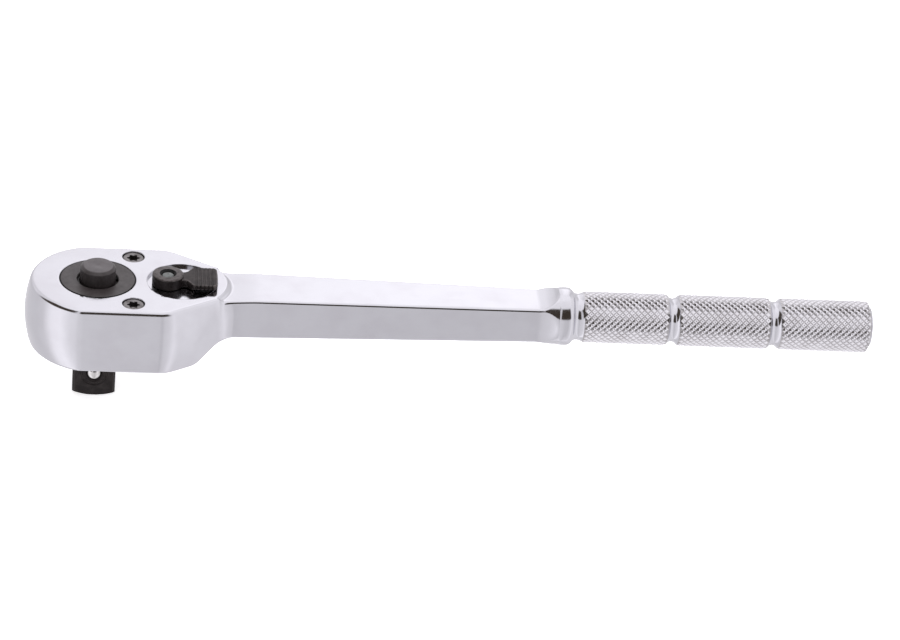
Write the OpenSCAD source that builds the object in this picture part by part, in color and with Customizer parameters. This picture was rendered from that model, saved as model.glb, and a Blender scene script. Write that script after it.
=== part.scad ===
// Reversible ratchet wrench with a 1/2 inch quick-release square drive.
// Frame: millimetres, +Z up along the drive axis with the lever on top, +X along the handle.
// The origin is on the drive axis, in the underside of the head where a socket seats.

/* [Drive square] */
// Width across the flats of the drive square
square_w = 12.7; // [11.5:0.1:15.5]
// Length of the square below the head
square_l = 16; // [15.5:0.1:22]
// Radius to which the four corners of the square are turned
square_corner_r = 8.5; // [7.6:0.1:10.2]
// Chamfer on the free end of the square
square_chamfer = 0.9; // [0.4:0.1:1.5]
// Radius of the socket ball
ball_r = 2.38; // [2:0.02:2.8]
// Distance of the ball from the free end of the square
ball_from_end = 7.8; // [7.5:0.1:9]
// How far the ball sinks when the button is pressed
ball_travel = 1.1; // [0.9:0.05:1.3]

/* [Drive gear] */
// Number of ratchet teeth, a multiple of twelve
gear_teeth = 60; // [48:12:72]
// Depth of the ratchet teeth
tooth_depth = 0.8; // [0.6:0.05:1]
// Width of a tooth at its tip and of a gap at its root
tooth_land = 0.24; // [0.15:0.01:0.35]
// Height of the toothed ring
gear_h = 11.8; // [9:0.1:15]
// Radius of the upper journal, the dark disc in the top of the head
journal_r = 11.2; // [10:0.1:14]
// Step from the upper journal out to the tooth roots
journal_step = 1.4; // [1.2:0.1:2]
// Radius of the lower journal, which runs in the cover plate
lower_journal_r = 9.2; // [8.9:0.1:10.6]

/* [Quick release] */
// Radius of the push button
button_r = 5.25; // [4.2:0.05:6.4]
// How far the button stands above the head
button_proud = 4.55; // [4:0.05:6]
// Chamfer round the top of the button
button_chamfer = 0.8; // [0.4:0.1:1.2]
// Travel of the button
button_travel = 3.5; // [2.8:0.1:4.2]
// Thickness of the flange that keeps the button in
flange_t = 1.2; // [0.8:0.1:1.6]
// How far the flange stands out from the button
flange_step = 0.7; // [0.5:0.05:1]
// Thickness of the retaining ring above the flange
ring_t = 0.8; // [0.6:0.1:1]
// Depth of the ring below the top of the head
ring_depth = 0.8; // [0.6:0.1:1.2]
// Radius of the plunger under the button
plunger_r = 2.55; // [2.3:0.05:3.1]
// Radius of the wire of the release spring
release_wire_r = 0.4; // [0.3:0.05:0.5]
// Depth of the spring well under the button's bore
spring_well = 5.5; // [5:0.1:7]

/* [Head] */
// Thickness of the cover plate
cover_t = 3.2; // [2.8:0.1:4.2]
// Thickness of the head above the gear
roof_t = 4.4; // [4:0.1:6]
// Width of the rim round the cover plate
rim_w = 2.7; // [2:0.1:4]
// How far the side wall bulges at half its height
crown = 1.65; // [0.8:0.05:2.2]
// How much the flat sides cut into the round nose
side_flat = 0.8; // [0.4:0.05:1.2]
// Radius of the shallow pocket round the lever
pocket_r = 10.3; // [9.6:0.1:12]
// Depth of that pocket
pocket_depth = 1; // [0.6:0.1:1.4]
// Distance of the pocket's centre beyond the lever's axis
pocket_shift = 4.2; // [3.6:0.1:5]
// Distance of the head's rounded end beyond the lever's axis
head_end = 18.5; // [17:0.1:24]

/* [Cover screws] */
// Radius of the screw shanks
screw_r = 1.98; // [1.6:0.02:2.3]
// Radius of the screw heads
screw_head_r = 3.2; // [2.8:0.05:3.6]
// Height of the screw heads
screw_head_h = 2.5; // [2.1:0.1:3]
// Angle of each screw from the handle, round the drive axis
screw_angle = 52.6; // [50:0.2:58]

/* [Reversing mechanism] */
// Radius of the lever's spindle
spindle_r = 3; // [2.6:0.05:3.6]
// Thickness of the pawl between the gear and the spindle
pawl_web = 4; // [3.6:0.1:5]
// Thickness of the pawl's hub round the spindle
hub_wall = 2.4; // [2:0.1:3]
// Radius of the tip of each pawl wing
wing_tip_r = 1.4; // [1.2:0.05:1.7]
// Angle round the drive axis at which a wing meets the gear
wing_angle = 35; // [33:0.5:36]
// Turn of the pawl from neutral to full mesh
pawl_swing = 6; // [5.6:0.1:7]
// Radius of the selector plunger in the spindle
selector_r = 1.1; // [0.9:0.05:1.3]
// How far the selector plunger stands out of the spindle
selector_proud = 1.2; // [1:0.05:1.5]

/* [Reversing lever] */
// Radius of the lever's round boss
boss_r = 4.65; // [4.4:0.05:5.4]
// Height of the boss above the top of the head
boss_rise = 2.65; // [2.4:0.05:3.6]
// Height of the thumb piece above the top of the head
thumb_rise = 1.96; // [1.7:0.02:2.4]
// Distance of the thumb piece's near edge from the lever's axis
thumb_start = 5.9; // [5.4:0.1:7]
// Distance of the thumb piece's far edge from the lever's axis
thumb_end = 14.7; // [13:0.1:17]
// Width of the thumb piece
thumb_w = 10.8; // [9:0.1:13]
// Width of the neck between boss and thumb piece
neck_w = 4.7; // [4:0.1:6]

/* [Handle] */
// Distance of the end of the handle from the drive axis
handle_end = 232.5; // [210:0.5:285]
// Depth of the handle's axis below the top of the head
handle_drop = 7.2; // [7:0.1:8]
// Width of the shank where it leaves the head
shank_w0 = 18.1; // [15:0.1:19]
// Height of the shank where it leaves the head
shank_h0 = 12.8; // [11:0.1:13]
// Width of the shank at the collar
shank_w1 = 12.4; // [11:0.1:14]
// Height of the shank at the collar
shank_h1 = 10.9; // [9.5:0.1:12.5]
// Radius of the round collar
collar_r = 8.75; // [8.6:0.05:10]
// Length of the round collar
collar_l = 4.4; // [3:0.1:7]
// Radius of the grip over its knurl
grip_r = 7.75; // [7.2:0.05:9]
// Lengths of the grip's sections, from the collar to the end
grip_lengths = [25.5, 27.5, 28.1];
// Width of each smooth groove between the sections
groove_w = 3.3; // [2.6:0.1:4]
// Depth of the grooves between the sections
groove_depth = 1.25; // [0.8:0.05:1.6]
// Chamfer at the ends of the grip's sections
grip_chamfer = 0.5; // [0.3:0.1:1]

/* [Clearances] */
// Radial clearance of the journals and of the spindle
running = 0.06; // [0.03:0.01:0.09]
// Radial clearance of the screws in the head
screw_clear = 0.17; // [0.1:0.01:0.3]
// Clearance of the gear and pawl inside their cavities
cavity_clear = 0.4; // [0.3:0.05:0.5]
// Backlash left between the pawl's teeth and the gear's
mesh_clear = 0.1; // [0.08:0.01:0.14]
// Clearance between parts that rest against each other
seat_clear = 0.05; // [0.03:0.01:0.08]
// End clearance of turning parts
end_clear = 0.3; // [0.2:0.05:0.4]

/* [Hidden] */
$fn = 64;
far = 400;
eps = 0.01;

// Gear and cavity
gear_root_r = journal_r + journal_step;
gear_tip_r = gear_root_r + tooth_depth;
cavity_r = gear_tip_r + cavity_clear;
wave_gap = 0.9;
thrust_t = 0.5;
thrust_gap = thrust_t + 2 * seat_clear;
gear_z0 = cover_t + wave_gap;
gear_z1 = gear_z0 + gear_h;
ceiling_z = gear_z1 + thrust_gap;
head_h = ceiling_z + roof_t;

// Screws, placed just outside the gear cavity
screw_hole_r = screw_r + screw_clear;
screw_wall = 1.33;
screw_circle_r = cavity_r + screw_wall + screw_hole_r;
screw_pos = [screw_circle_r * cos(screw_angle), screw_circle_r * sin(screw_angle)];
screw_sink = 0.35;
screw_top_z = head_h - screw_sink;
screw_pan = 0.5;
thread_gap = 0.02;
tapped_r = screw_r + thread_gap;

// Lever axis, pawl and spindle
web_clear = 0.2;
lever_x = gear_tip_r + web_clear + pawl_web + spindle_r;
lever_swing = 25;
spindle_bore_r = spindle_r + running;
hub_r = spindle_r + hub_wall;
clip_t = 0.6;
clip_space = clip_t + 2 * end_clear;
pawl_z0 = cover_t + end_clear;
pawl_z1 = ceiling_z - clip_space;
clip_z = ceiling_z - end_clear - clip_t;
foot_r = 2;
foot_l = 1.8;
wing_r = gear_tip_r + wing_tip_r - tooth_depth + web_clear;
pocket_z = head_h - pocket_depth;

// Pear-shaped outline of the head at its top and bottom faces
cover_wall = 1.9;
cover_r = cavity_r + cover_wall;
cover_clear = 0.1;
face_rim = rim_w + 1.3;
nose_r = cover_r + cover_clear + face_rim;
half_w = nose_r - side_flat;
end_ratio = 0.667;
end_r = end_ratio * nose_r;
head_end_x = lever_x + head_end;
shoulder_back = 1.2;
shoulder_x = lever_x - shoulder_back;
lug_wall = 0.95;
cover_lug_r = screw_hole_r + lug_wall;
cover_end_wall = 1;
cover_end_r = hub_r + cavity_clear + cover_end_wall;

// Handle stations
handle_z = head_h - handle_drop;
grip_l = grip_lengths[0] + grip_lengths[1] + grip_lengths[2] + 2 * groove_w;
grip_x = handle_end - grip_l;
collar_x1 = grip_x - groove_w;
collar_x0 = collar_x1 - collar_l;
scoop_l = 6;
shank_overlap = 9;
shank_x0 = head_end_x - shank_overlap;
shank_end_x = collar_x0;
blend_reach = 2.4;
blend_x = head_end_x + blend_reach;
blend_slope = 40;
blend_r_out = 4;
blend_r_in = 10;

// Quick release levels
top_z = head_h;
ring_z1 = top_z - ring_depth;
ring_z0 = ring_z1 - ring_t;
flange_z1 = ring_z0 - seat_clear;
flange_z0 = flange_z1 - flange_t;
flange_r = button_r + flange_step;
flange_clear = 0.13;
button_bore_r = flange_r + flange_clear;
button_bore_z = flange_z0 - button_travel - end_clear;
spring_z0 = button_bore_z - spring_well;
spring_gap = 1.25;
spring_r = plunger_r + spring_gap;
spring_side_clear = 0.25;
spring_bore_r = spring_r + release_wire_r + spring_side_clear;
ring_groove_depth = 0.5;
ring_groove_r = button_bore_r + ring_groove_depth;
ball_z = ball_from_end - square_l;
ball_y = plunger_r + seat_clear + ball_r;
ball_bore_r = ball_r + seat_clear;
lip_t = 0.45;
ramp_lead = 0.35;
ramp_z0 = ball_z - ramp_lead;
ramp_z1 = ramp_z0 + button_travel;
neck_margin = 0.6;
neck_z1 = ball_z + button_travel + ball_r + neck_margin;
neck_r = plunger_r - ball_travel;
plunger_tail = 1.9;
plunger_end_z = ball_z - plunger_tail;
bore_margin = 0.4;
plunger_bore_z = plunger_end_z - button_travel - bore_margin;
stub_step = 0.5;
stub_r = plunger_r - stub_step;
stub_l = 5;

// Lever levels
lever_lift = 0.15;
lever_z0 = pocket_z + lever_lift;
boss_z1 = head_h + boss_rise;
thumb_z0 = head_h + end_clear;
thumb_z1 = head_h + thumb_rise;
key_h = 1.9;
key_step = 0.4;
key_z1 = lever_z0 + key_h;
key_r = spindle_r - key_step;
key_w = 3.8;
rivet_r = 1.85;
rivet_sink = 0.25;
rivet_z1 = boss_z1 - rivet_sink;

// Seals
o_ring_r = 0.7;
drive_o_rise = 0.9;
drive_o_z = ceiling_z + drive_o_rise + o_ring_r;
touch = 0.02;
drive_o_r = journal_r + running - touch - o_ring_r;
small_o_r = 0.45;
small_o_rise = 1.9;
small_o_z = ceiling_z + small_o_rise;
small_o_ring_r = spindle_bore_r - touch - small_o_r;

// Selector inside the spindle, half way up the pawl
selector_z = (pawl_z0 + pawl_z1) / 2;
selector_tip = spindle_r + selector_proud;
selector_l = 2.4;
selector_back = 1.8;
selector_wire_r = 0.16;
selector_spring_r = selector_r - selector_wire_r - 0.06;
window_h = 2 * selector_r + 1.2;

// Points on an arc in the plane, from angle a0 to a1
function arc(c, r, a0, a1, n = 12) =
    [for (k = [0:n]) let (a = a0 + (a1 - a0) * k / n) [c[0] + r * cos(a), c[1] + r * sin(a)]];

// Half width of the ball at a distance from its centre
function ball_chord(d) = sqrt(ball_r * ball_r - d * d);

// Inset of the side wall from its bulge, at a fraction of the head's height
function crown_inset(t) = crown * pow(2 * t - 1, 2);

module ring(r_in, r_out, z0, z1) {
    translate([0, 0, z0])
        difference() {
            cylinder(r = r_out, h = z1 - z0);
            translate([0, 0, -1]) cylinder(r = r_in, h = z1 - z0 + 2);
        }
}

module rod(r, z0, z1) {
    translate([0, 0, z0]) cylinder(r = r, h = z1 - z0);
}

// Round wire swept along a helix about Z, with closed flat ends
module coil(r, wire_r, z0, z1, turns, per_turn = 16, sides = 8) {
    steps = turns * per_turn;
    rise = z1 - z0 - 2 * wire_r;
    points = [for (i = [0:steps], j = [0:sides - 1])
        let (a = 360 * i / per_turn, b = 360 * j / sides, q = r + wire_r * cos(b))
        [q * cos(a), q * sin(a), z0 + wire_r + rise * i / steps + wire_r * sin(b)]];
    walls = [for (i = [0:steps - 1], j = [0:sides - 1])
        [i * sides + j, (i + 1) * sides + j, (i + 1) * sides + (j + 1) % sides,
         i * sides + (j + 1) % sides]];
    first = [[for (j = [0:sides - 1]) j]];
    last = [[for (j = [sides - 1:-1:0]) steps * sides + j]];
    polyhedron(points, concat(first, walls, last), convexity = 10);
}

// ---- Head and handle ----

// Nose arc, flat sides, straight taper and rounded end, all from the driving sizes
module head_outline() {
    nose_a = asin(half_w / nose_r);
    end_x = head_end_x - end_r;
    reach = norm([shoulder_x - end_x, half_w]);
    end_a = atan2(half_w, shoulder_x - end_x) - acos(end_r / reach);
    polygon(concat(arc([0, 0], nose_r, 180 - nose_a, 180 + nose_a, 36),
                   [[shoulder_x, -half_w]],
                   arc([end_x, 0], end_r, -end_a, end_a, 24),
                   [[shoulder_x, half_w]]));
}

module head_blank() {
    layers = 6;
    slab = 0.3;
    hull()
        for (k = [0:layers])
            translate([0, 0, k / layers * (head_h - slab)])
                linear_extrude(slab)
                    offset(delta = crown - crown_inset(k / layers)) head_outline();
}

// Underside profile rising from the head to the shank, seen along Y
module underside_cut() {
    shank_bottom = handle_z - shank_h0 / 2;
    inner = arc([blend_x, shank_bottom - blend_r_in], blend_r_in, 90 + blend_slope, 90);
    line_run = (inner[0][1] - blend_r_out * (1 - cos(blend_slope))) / tan(blend_slope);
    start_x = inner[0][0] - line_run - blend_r_out * sin(blend_slope);
    outer = arc([start_x, blend_r_out], blend_r_out, -90, -90 + blend_slope);
    rotate([90, 0, 0])
        translate([0, 0, -far / 2])
            linear_extrude(far)
                polygon(concat([[start_x, -1]], outer, inner,
                               [[far, shank_bottom], [far, -1]]));
}

// Tapered bar of the shank, wider than high
module shank() {
    slice = 0.1;
    hull() {
        translate([shank_x0, -shank_w0 / 2, handle_z - shank_h0 / 2])
            cube([slice, shank_w0, shank_h0]);
        translate([shank_end_x - slice, -shank_w1 / 2, handle_z - shank_h1 / 2])
            cube([slice, shank_w1, shank_h1]);
    }
}

// Collar, grip sections and grooves, turned about the handle's axis
module turned_handle() {
    throat_r = shank_h1 / 2 - 0.3;
    flare_r = collar_r - throat_r;
    flare = [for (k = [0:8]) let (a = 90 * k / 8)
        [throat_r + flare_r * (1 - cos(a)), collar_x0 - scoop_l + scoop_l * sin(a)]];
    starts = [grip_x,
              grip_x + grip_lengths[0] + groove_w,
              grip_x + grip_lengths[0] + grip_lengths[1] + 2 * groove_w];
    sections = [for (i = [0:2])
        each [[grip_r - grip_chamfer, starts[i]],
              [grip_r, starts[i] + grip_chamfer],
              [grip_r, starts[i] + grip_lengths[i] - grip_chamfer],
              [grip_r - grip_chamfer, starts[i] + grip_lengths[i]],
              if (i < 2) each groove(starts[i] + grip_lengths[i])]];
    translate([0, 0, handle_z])
        rotate([0, 90, 0])
            rotate_extrude()
                polygon(concat([[0, collar_x0 - scoop_l]], flare,
                               [[collar_r, collar_x1 - grip_chamfer],
                                [collar_r - grip_chamfer, collar_x1]],
                               groove(collar_x1), sections, [[0, handle_end]]));
}

// Points of one concave groove that starts at x
function groove(x) = [for (k = [1:7])
    [grip_r - grip_chamfer - (groove_depth - grip_chamfer) * sin(180 * k / 8),
     x + groove_w * k / 8]];

module pocket_outline() {
    hull() {
        translate([lever_x, 0]) circle(r = hub_r + cavity_clear);
        for (side = [-1, 1], turn = [-1, 1])
            wing_tip(side, turn) circle(r = wing_tip_r + cavity_clear);
    }
}

module cover_outline() {
    hull() {
        circle(r = cover_r);
        for (side = [-1, 1])
            translate([screw_pos[0], side * screw_pos[1]]) circle(r = cover_lug_r);
        translate([lever_x, 0]) circle(r = cover_end_r);
    }
}

module at_screws(sides = [-1, 1]) {
    for (side = sides)
        translate([screw_pos[0], side * screw_pos[1], 0]) children();
}

module head_and_handle() {
    color([0.86, 0.87, 0.9])
        difference() {
            union() {
                difference() {
                    head_blank();
                    underside_cut();
                }
                shank();
                turned_handle();
            }
            translate([0, 0, -1])
                linear_extrude(cover_t + 1) offset(delta = cover_clear) cover_outline();
            rod(cavity_r, cover_t - 1, ceiling_z);
            translate([0, 0, cover_t - 1]) linear_extrude(ceiling_z - cover_t + 1) pocket_outline();
            rod(journal_r + running, ceiling_z - 1, head_h + 1);
            at_screws() {
                rod(screw_hole_r, -1, head_h + 1);
                rod(screw_head_r + 0.1, screw_top_z - screw_head_h, head_h + 1);
            }
            translate([lever_x, 0, 0]) rod(spindle_bore_r, ceiling_z - 1, head_h);
            translate([lever_x + pocket_shift, 0, 0]) rod(pocket_r, pocket_z, head_h + 1);
        }
}

module cover_plate() {
    color([0.8, 0.81, 0.84])
        difference() {
            linear_extrude(cover_t - seat_clear) cover_outline();
            rod(lower_journal_r + running, -1, cover_t + 1);
            at_screws() rod(tapped_r, -1, cover_t + 1);
            translate([lever_x, 0, 0]) rod(foot_r + running, cover_t - foot_l - 0.2, cover_t + 1);
        }
}

// Socket for a six-lobe key
module six_lobe(r) {
    lobe = 0.21 * r;
    union() {
        circle(r = 0.79 * r);
        for (k = [0:5]) rotate(60 * k) translate([r - lobe, 0]) circle(r = lobe, $fn = 16);
    }
}

module cover_screw(side) {
    color([0.2, 0.18, 0.17])
        at_screws([side])
            difference() {
                union() {
                    rod(screw_r, 0.3, screw_top_z - screw_head_h + 1);
                    rod(screw_head_r, screw_top_z - screw_head_h, screw_top_z - screw_pan);
                    translate([0, 0, screw_top_z - screw_pan])
                        cylinder(r1 = screw_head_r, r2 = screw_head_r - screw_pan, h = screw_pan);
                }
                translate([0, 0, screw_top_z - 0.62 * screw_head_h])
                    linear_extrude(screw_head_h) six_lobe(0.6 * screw_head_r);
            }
}

// ---- Drive ----

// Ratchet gear in plan, with a tooth gap on +X
module gear_outline() {
    step = 360 / gear_teeth;
    tip = 90 * tooth_land / (3.1416 * gear_tip_r);
    gap = 90 * tooth_land / (3.1416 * gear_root_r);
    polygon([for (k = [0:gear_teeth - 1])
        each [for (p = [[gap, gear_root_r], [step / 2 - tip, gear_tip_r],
                        [step / 2 + tip, gear_tip_r], [step - gap, gear_root_r]])
            [p[1] * cos(k * step + p[0]), p[1] * sin(k * step + p[0])]]]);
}

module square_end() {
    translate([0, 0, -square_l])
        intersection() {
            translate([-square_w / 2, -square_w / 2, 0]) cube([square_w, square_w, square_l + 1]);
            union() {
                cylinder(r1 = square_corner_r - 2 * square_chamfer, r2 = square_corner_r,
                         h = square_chamfer);
                translate([0, 0, square_chamfer]) cylinder(r = square_corner_r, h = square_l + 1);
            }
        }
}

module drive_gear() {
    lip_y = square_w / 2 - lip_t;
    color([0.2, 0.17, 0.16])
        difference() {
            union() {
                rod(journal_r, gear_z1 - 1, top_z);
                translate([0, 0, gear_z0]) linear_extrude(gear_h) gear_outline();
                rod(lower_journal_r, 0, gear_z0 + 1);
                square_end();
            }
            difference() {
                rod(journal_r + 1, drive_o_z - o_ring_r - 0.15, drive_o_z + o_ring_r + 0.15);
                rod(drive_o_r - o_ring_r - 0.02, drive_o_z - 2, drive_o_z + 2);
            }
            rod(button_bore_r, button_bore_z, top_z + 1);
            rod(ring_groove_r, ring_z0 - 0.02, ring_z1 + 0.02);
            rod(spring_bore_r, spring_z0, button_bore_z + 1);
            rod(plunger_r + running, plunger_bore_z, spring_z0 + 1);
            translate([0, 0, ball_z])
                rotate([90, 0, 0]) {
                    cylinder(r = ball_bore_r, h = lip_y);
                    translate([0, 0, lip_y - eps])
                        cylinder(r1 = ball_chord(lip_y - ball_y) + 0.07,
                                 r2 = ball_chord(square_w / 2 - ball_y) + 0.07,
                                 h = lip_t + 2 * eps);
                }
        }
}

module torus(r, tube, z) {
    translate([0, 0, z]) rotate_extrude() translate([r, 0]) circle(r = tube);
}

module drive_o_ring() {
    color([0.1, 0.1, 0.1]) torus(drive_o_r, o_ring_r, drive_o_z);
}

module drive_thrust_washer() {
    color([0.72, 0.55, 0.3])
        ring(journal_r + 0.15, gear_tip_r - 0.2, gear_z1 + seat_clear, gear_z1 + seat_clear + thrust_t);
}

// Spring washer with four waves, which drags lightly on the gear
module drive_wave_washer() {
    steps = 64;
    waves = 4;
    sheet = 0.3;
    r_in = lower_journal_r + 0.3;
    r_out = gear_root_r - 0.4;
    swing = (wave_gap - sheet) / 2 - seat_clear;
    points = [for (i = [0:steps - 1], p = [[r_in, 0], [r_out, 0], [r_out, sheet], [r_in, sheet]])
        let (a = 360 * i / steps)
        [p[0] * cos(a), p[0] * sin(a),
         cover_t + (wave_gap - sheet) / 2 + swing * cos(waves * a) + p[1]]];
    faces = [for (i = [0:steps - 1], j = [0:3])
        let (n = (i + 1) % steps, q = (j + 1) % 4)
        each [[4 * i + j, 4 * n + j, 4 * n + q], [4 * i + j, 4 * n + q, 4 * i + q]]];
    color([0.6, 0.62, 0.66]) polyhedron(points, faces, convexity = 8);
}

module release_button() {
    color([0.2, 0.17, 0.16])
        difference() {
            union() {
                rod(flange_r, flange_z0, flange_z1);
                rod(button_r, flange_z0, top_z + button_proud - button_chamfer);
                translate([0, 0, top_z + button_proud - button_chamfer])
                    cylinder(r1 = button_r, r2 = button_r - button_chamfer, h = button_chamfer);
            }
            rod(stub_r + seat_clear, flange_z0 - 1, flange_z0 + stub_l);
        }
}

// Turned pin whose ramp lets the ball sink as the pin goes down
module release_plunger() {
    color([0.55, 0.56, 0.6])
        rotate_extrude()
            polygon([[0, plunger_end_z], [plunger_r - 0.4, plunger_end_z],
                     [plunger_r, plunger_end_z + 0.4], [plunger_r, ramp_z0],
                     [neck_r, ramp_z1], [neck_r, neck_z1],
                     [plunger_r, neck_z1 + ball_travel], [plunger_r, flange_z0 - eps],
                     [stub_r, flange_z0 - eps], [stub_r, flange_z0 + stub_l - 0.2],
                     [0, flange_z0 + stub_l - 0.2]]);
}

module release_spring() {
    color([0.6, 0.62, 0.66])
        coil(spring_r, release_wire_r, spring_z0 + 0.02, flange_z0 - 0.02, 6);
}

// Open snap ring in the groove above the button's flange
module button_retaining_ring() {
    gap_w = 3;
    color([0.3, 0.28, 0.27])
        difference() {
            ring(button_r + 0.2, ring_groove_r - seat_clear, ring_z0, ring_z1);
            translate([0, -gap_w / 2, ring_z0 - 1]) cube([far, gap_w, ring_t + 2]);
        }
}

module socket_ball() {
    color([0.75, 0.75, 0.76]) translate([0, -ball_y, ball_z]) sphere(r = ball_r);
}

// ---- Reversing mechanism ----

module reverse_lever() {
    bevel = 0.6;
    thumb_l = thumb_end - thumb_start;
    color([0.2, 0.17, 0.16])
        translate([lever_x, 0, 0])
            difference() {
                union() {
                    rod(boss_r, lever_z0, boss_z1 - bevel);
                    translate([0, 0, boss_z1 - bevel])
                        cylinder(r1 = boss_r, r2 = boss_r - bevel, h = bevel);
                    translate([0, -neck_w / 2, thumb_z0])
                        cube([thumb_start + 1, neck_w, thumb_z1 - thumb_z0 + 0.1]);
                    hull() {
                        translate([thumb_start, -thumb_w / 2, thumb_z0])
                            cube([thumb_l, thumb_w, thumb_z1 - thumb_z0 - bevel]);
                        translate([thumb_start + bevel, -thumb_w / 2 + bevel, thumb_z0])
                            cube([thumb_l - 2 * bevel, thumb_w - 2 * bevel, thumb_z1 - thumb_z0]);
                    }
                }
                translate([0, 0, lever_z0 - 1]) linear_extrude(key_z1 - lever_z0 + 1) key(0.02);
                rod(rivet_r + 0.02, lever_z0, boss_z1 + 1);
                translate([0, 0, boss_z1 - bevel])
                    cylinder(r1 = rivet_r + 0.02, r2 = rivet_r + bevel + 0.05, h = bevel + eps);
            }
}

// Two-flatted section that turns the spindle with the lever
module key(grow) {
    intersection() {
        circle(r = key_r + grow);
        translate([-far / 2, -key_w / 2 - grow]) square([far, key_w + 2 * grow]);
    }
}

module lever_spindle() {
    color([0.7, 0.7, 0.72])
        translate([lever_x, 0, 0])
            difference() {
                union() {
                    rod(foot_r, cover_t - foot_l, cover_t + 1);
                    rod(spindle_r, cover_t + 0.1, lever_z0);
                    translate([0, 0, lever_z0]) linear_extrude(key_z1 - lever_z0 - 0.1) key(0);
                    rod(rivet_r, lever_z0, rivet_z1);
                }
                ring(2.55, far, clip_z - 0.05, clip_z + clip_t + 0.05);
                ring(small_o_ring_r - small_o_r - 0.02, far,
                     small_o_z - small_o_r - 0.1, small_o_z + small_o_r + 0.1);
                translate([selector_back, 0, selector_z])
                    rotate([0, -90, 0]) cylinder(r = selector_r + 0.05, h = far);
            }
}

module spindle_o_ring() {
    color([0.1, 0.1, 0.1]) translate([lever_x, 0, 0]) torus(small_o_ring_r, small_o_r, small_o_z);
}

// Spring clip that stops the spindle from lifting out
module spindle_circlip() {
    color([0.45, 0.45, 0.48])
        translate([lever_x, 0, 0])
            difference() {
                ring(2.6, hub_r - 0.8, clip_z, clip_z + clip_t);
                translate([0, -2, clip_z - 1]) cube([far, 4, clip_t + 2]);
            }
}

module selector_plunger() {
    color([0.7, 0.7, 0.72])
        translate([lever_x - selector_tip, 0, selector_z])
            rotate([0, 90, 0]) {
                translate([0, 0, selector_r]) sphere(r = selector_r);
                rod(selector_r, selector_r, selector_l);
            }
}

module selector_spring() {
    color([0.6, 0.62, 0.66])
        translate([lever_x, 0, selector_z])
            rotate([0, 90, 0])
                coil(selector_spring_r, selector_wire_r, selector_l - selector_tip + 0.02,
                     selector_back - 0.02, 5, 12, 6);
}

// Places a wing tip's centre; turn is -1 away from the gear, 0 at rest and 1 in mesh
module wing_tip(side, turn) {
    translate([lever_x, 0])
        rotate(side * pawl_swing * (turn - 1))
            translate([wing_r * cos(wing_angle) - lever_x, side * wing_r * sin(wing_angle)])
                children();
}

// What the gear needs to stay clear as the pawl rocks, seen from the pawl
module gear_sweep() {
    steps = 6;
    middle = 22;
    wide = gear_tip_r + web_clear - mesh_clear - 0.02;
    offset(delta = mesh_clear)
        for (k = [-steps:steps])
            translate([lever_x, 0])
                rotate(pawl_swing * k / steps)
                    translate([-lever_x, 0]) {
                        gear_outline();
                        polygon(concat([[0, 0]], arc([0, 0], wide, -middle, middle, 16)));
                    }
}

// Rocker pawl in plan, symmetric about the handle, without its bore
module pawl_outline() {
    difference() {
        union()
            for (side = [-1, 1])
                hull() {
                    translate([lever_x, 0]) circle(r = hub_r);
                    wing_tip(side, 0) circle(r = wing_tip_r);
                }
        gear_sweep();
    }
}

// Roof-shaped floor that the selector plunger pushes on
module selector_window() {
    ridge = selector_tip + 0.1;
    valley = selector_tip + 0.4;
    valley_a = lever_swing + pawl_swing;
    wall_a = valley_a + 24;
    polygon([[0, 0],
             [-spindle_r * cos(wall_a), -spindle_r * sin(wall_a)],
             [-valley * cos(wall_a - 6), -valley * sin(wall_a - 6)],
             [-valley * cos(valley_a), -valley * sin(valley_a)],
             [-ridge, 0],
             [-valley * cos(valley_a), valley * sin(valley_a)],
             [-valley * cos(wall_a - 6), valley * sin(wall_a - 6)],
             [-spindle_r * cos(wall_a), spindle_r * sin(wall_a)]]);
}

module pawl() {
    color([0.5, 0.5, 0.53])
        difference() {
            translate([0, 0, pawl_z0]) linear_extrude(pawl_z1 - pawl_z0) pawl_outline();
            translate([lever_x, 0, 0]) {
                rod(spindle_bore_r + 0.02, pawl_z0 - 1, pawl_z1 + 1);
                translate([0, 0, selector_z - window_h / 2])
                    linear_extrude(window_h) selector_window();
            }
        }
}

head_and_handle();
cover_plate();
cover_screw(-1);  // cover_screw_front
cover_screw(1);  // cover_screw_back
drive_gear();
drive_o_ring();
drive_thrust_washer();
drive_wave_washer();
release_button();
release_plunger();
release_spring();
button_retaining_ring();
socket_ball();
reverse_lever();
lever_spindle();
spindle_o_ring();
spindle_circlip();
selector_plunger();
selector_spring();
pawl();
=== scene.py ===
"""Reversible ratchet wrench with a half inch quick-release square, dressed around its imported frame.

Sizes are written in millimetres and every mesh is made in metres, in the frame of the CAD model:
+X along the handle, +Z up the drive axis, the origin where a socket seats on the head.
"""
import logging
import math
from dataclasses import dataclass
from enum import Enum
from typing import Callable, Sequence

import bpy
from mathutils import Matrix, Vector


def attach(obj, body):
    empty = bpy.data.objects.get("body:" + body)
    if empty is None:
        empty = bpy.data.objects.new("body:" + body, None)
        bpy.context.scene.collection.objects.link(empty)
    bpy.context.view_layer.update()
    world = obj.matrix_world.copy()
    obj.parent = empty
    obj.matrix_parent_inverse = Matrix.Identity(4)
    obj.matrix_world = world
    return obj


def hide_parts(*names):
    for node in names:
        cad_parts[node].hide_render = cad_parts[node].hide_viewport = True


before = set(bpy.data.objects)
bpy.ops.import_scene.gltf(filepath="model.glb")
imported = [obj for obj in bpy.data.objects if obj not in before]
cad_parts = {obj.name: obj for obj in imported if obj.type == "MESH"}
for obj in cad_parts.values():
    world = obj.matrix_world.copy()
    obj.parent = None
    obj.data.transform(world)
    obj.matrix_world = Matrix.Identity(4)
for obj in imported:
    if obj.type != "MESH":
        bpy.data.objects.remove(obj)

LOG = logging.getLogger("ratchet_wrench")
MM = 0.001  # one millimetre, in metres
TINY = 2e-6  # vertices that lie closer are one, in metres
HEAD_TOP = 20.9  # height of the head
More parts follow.
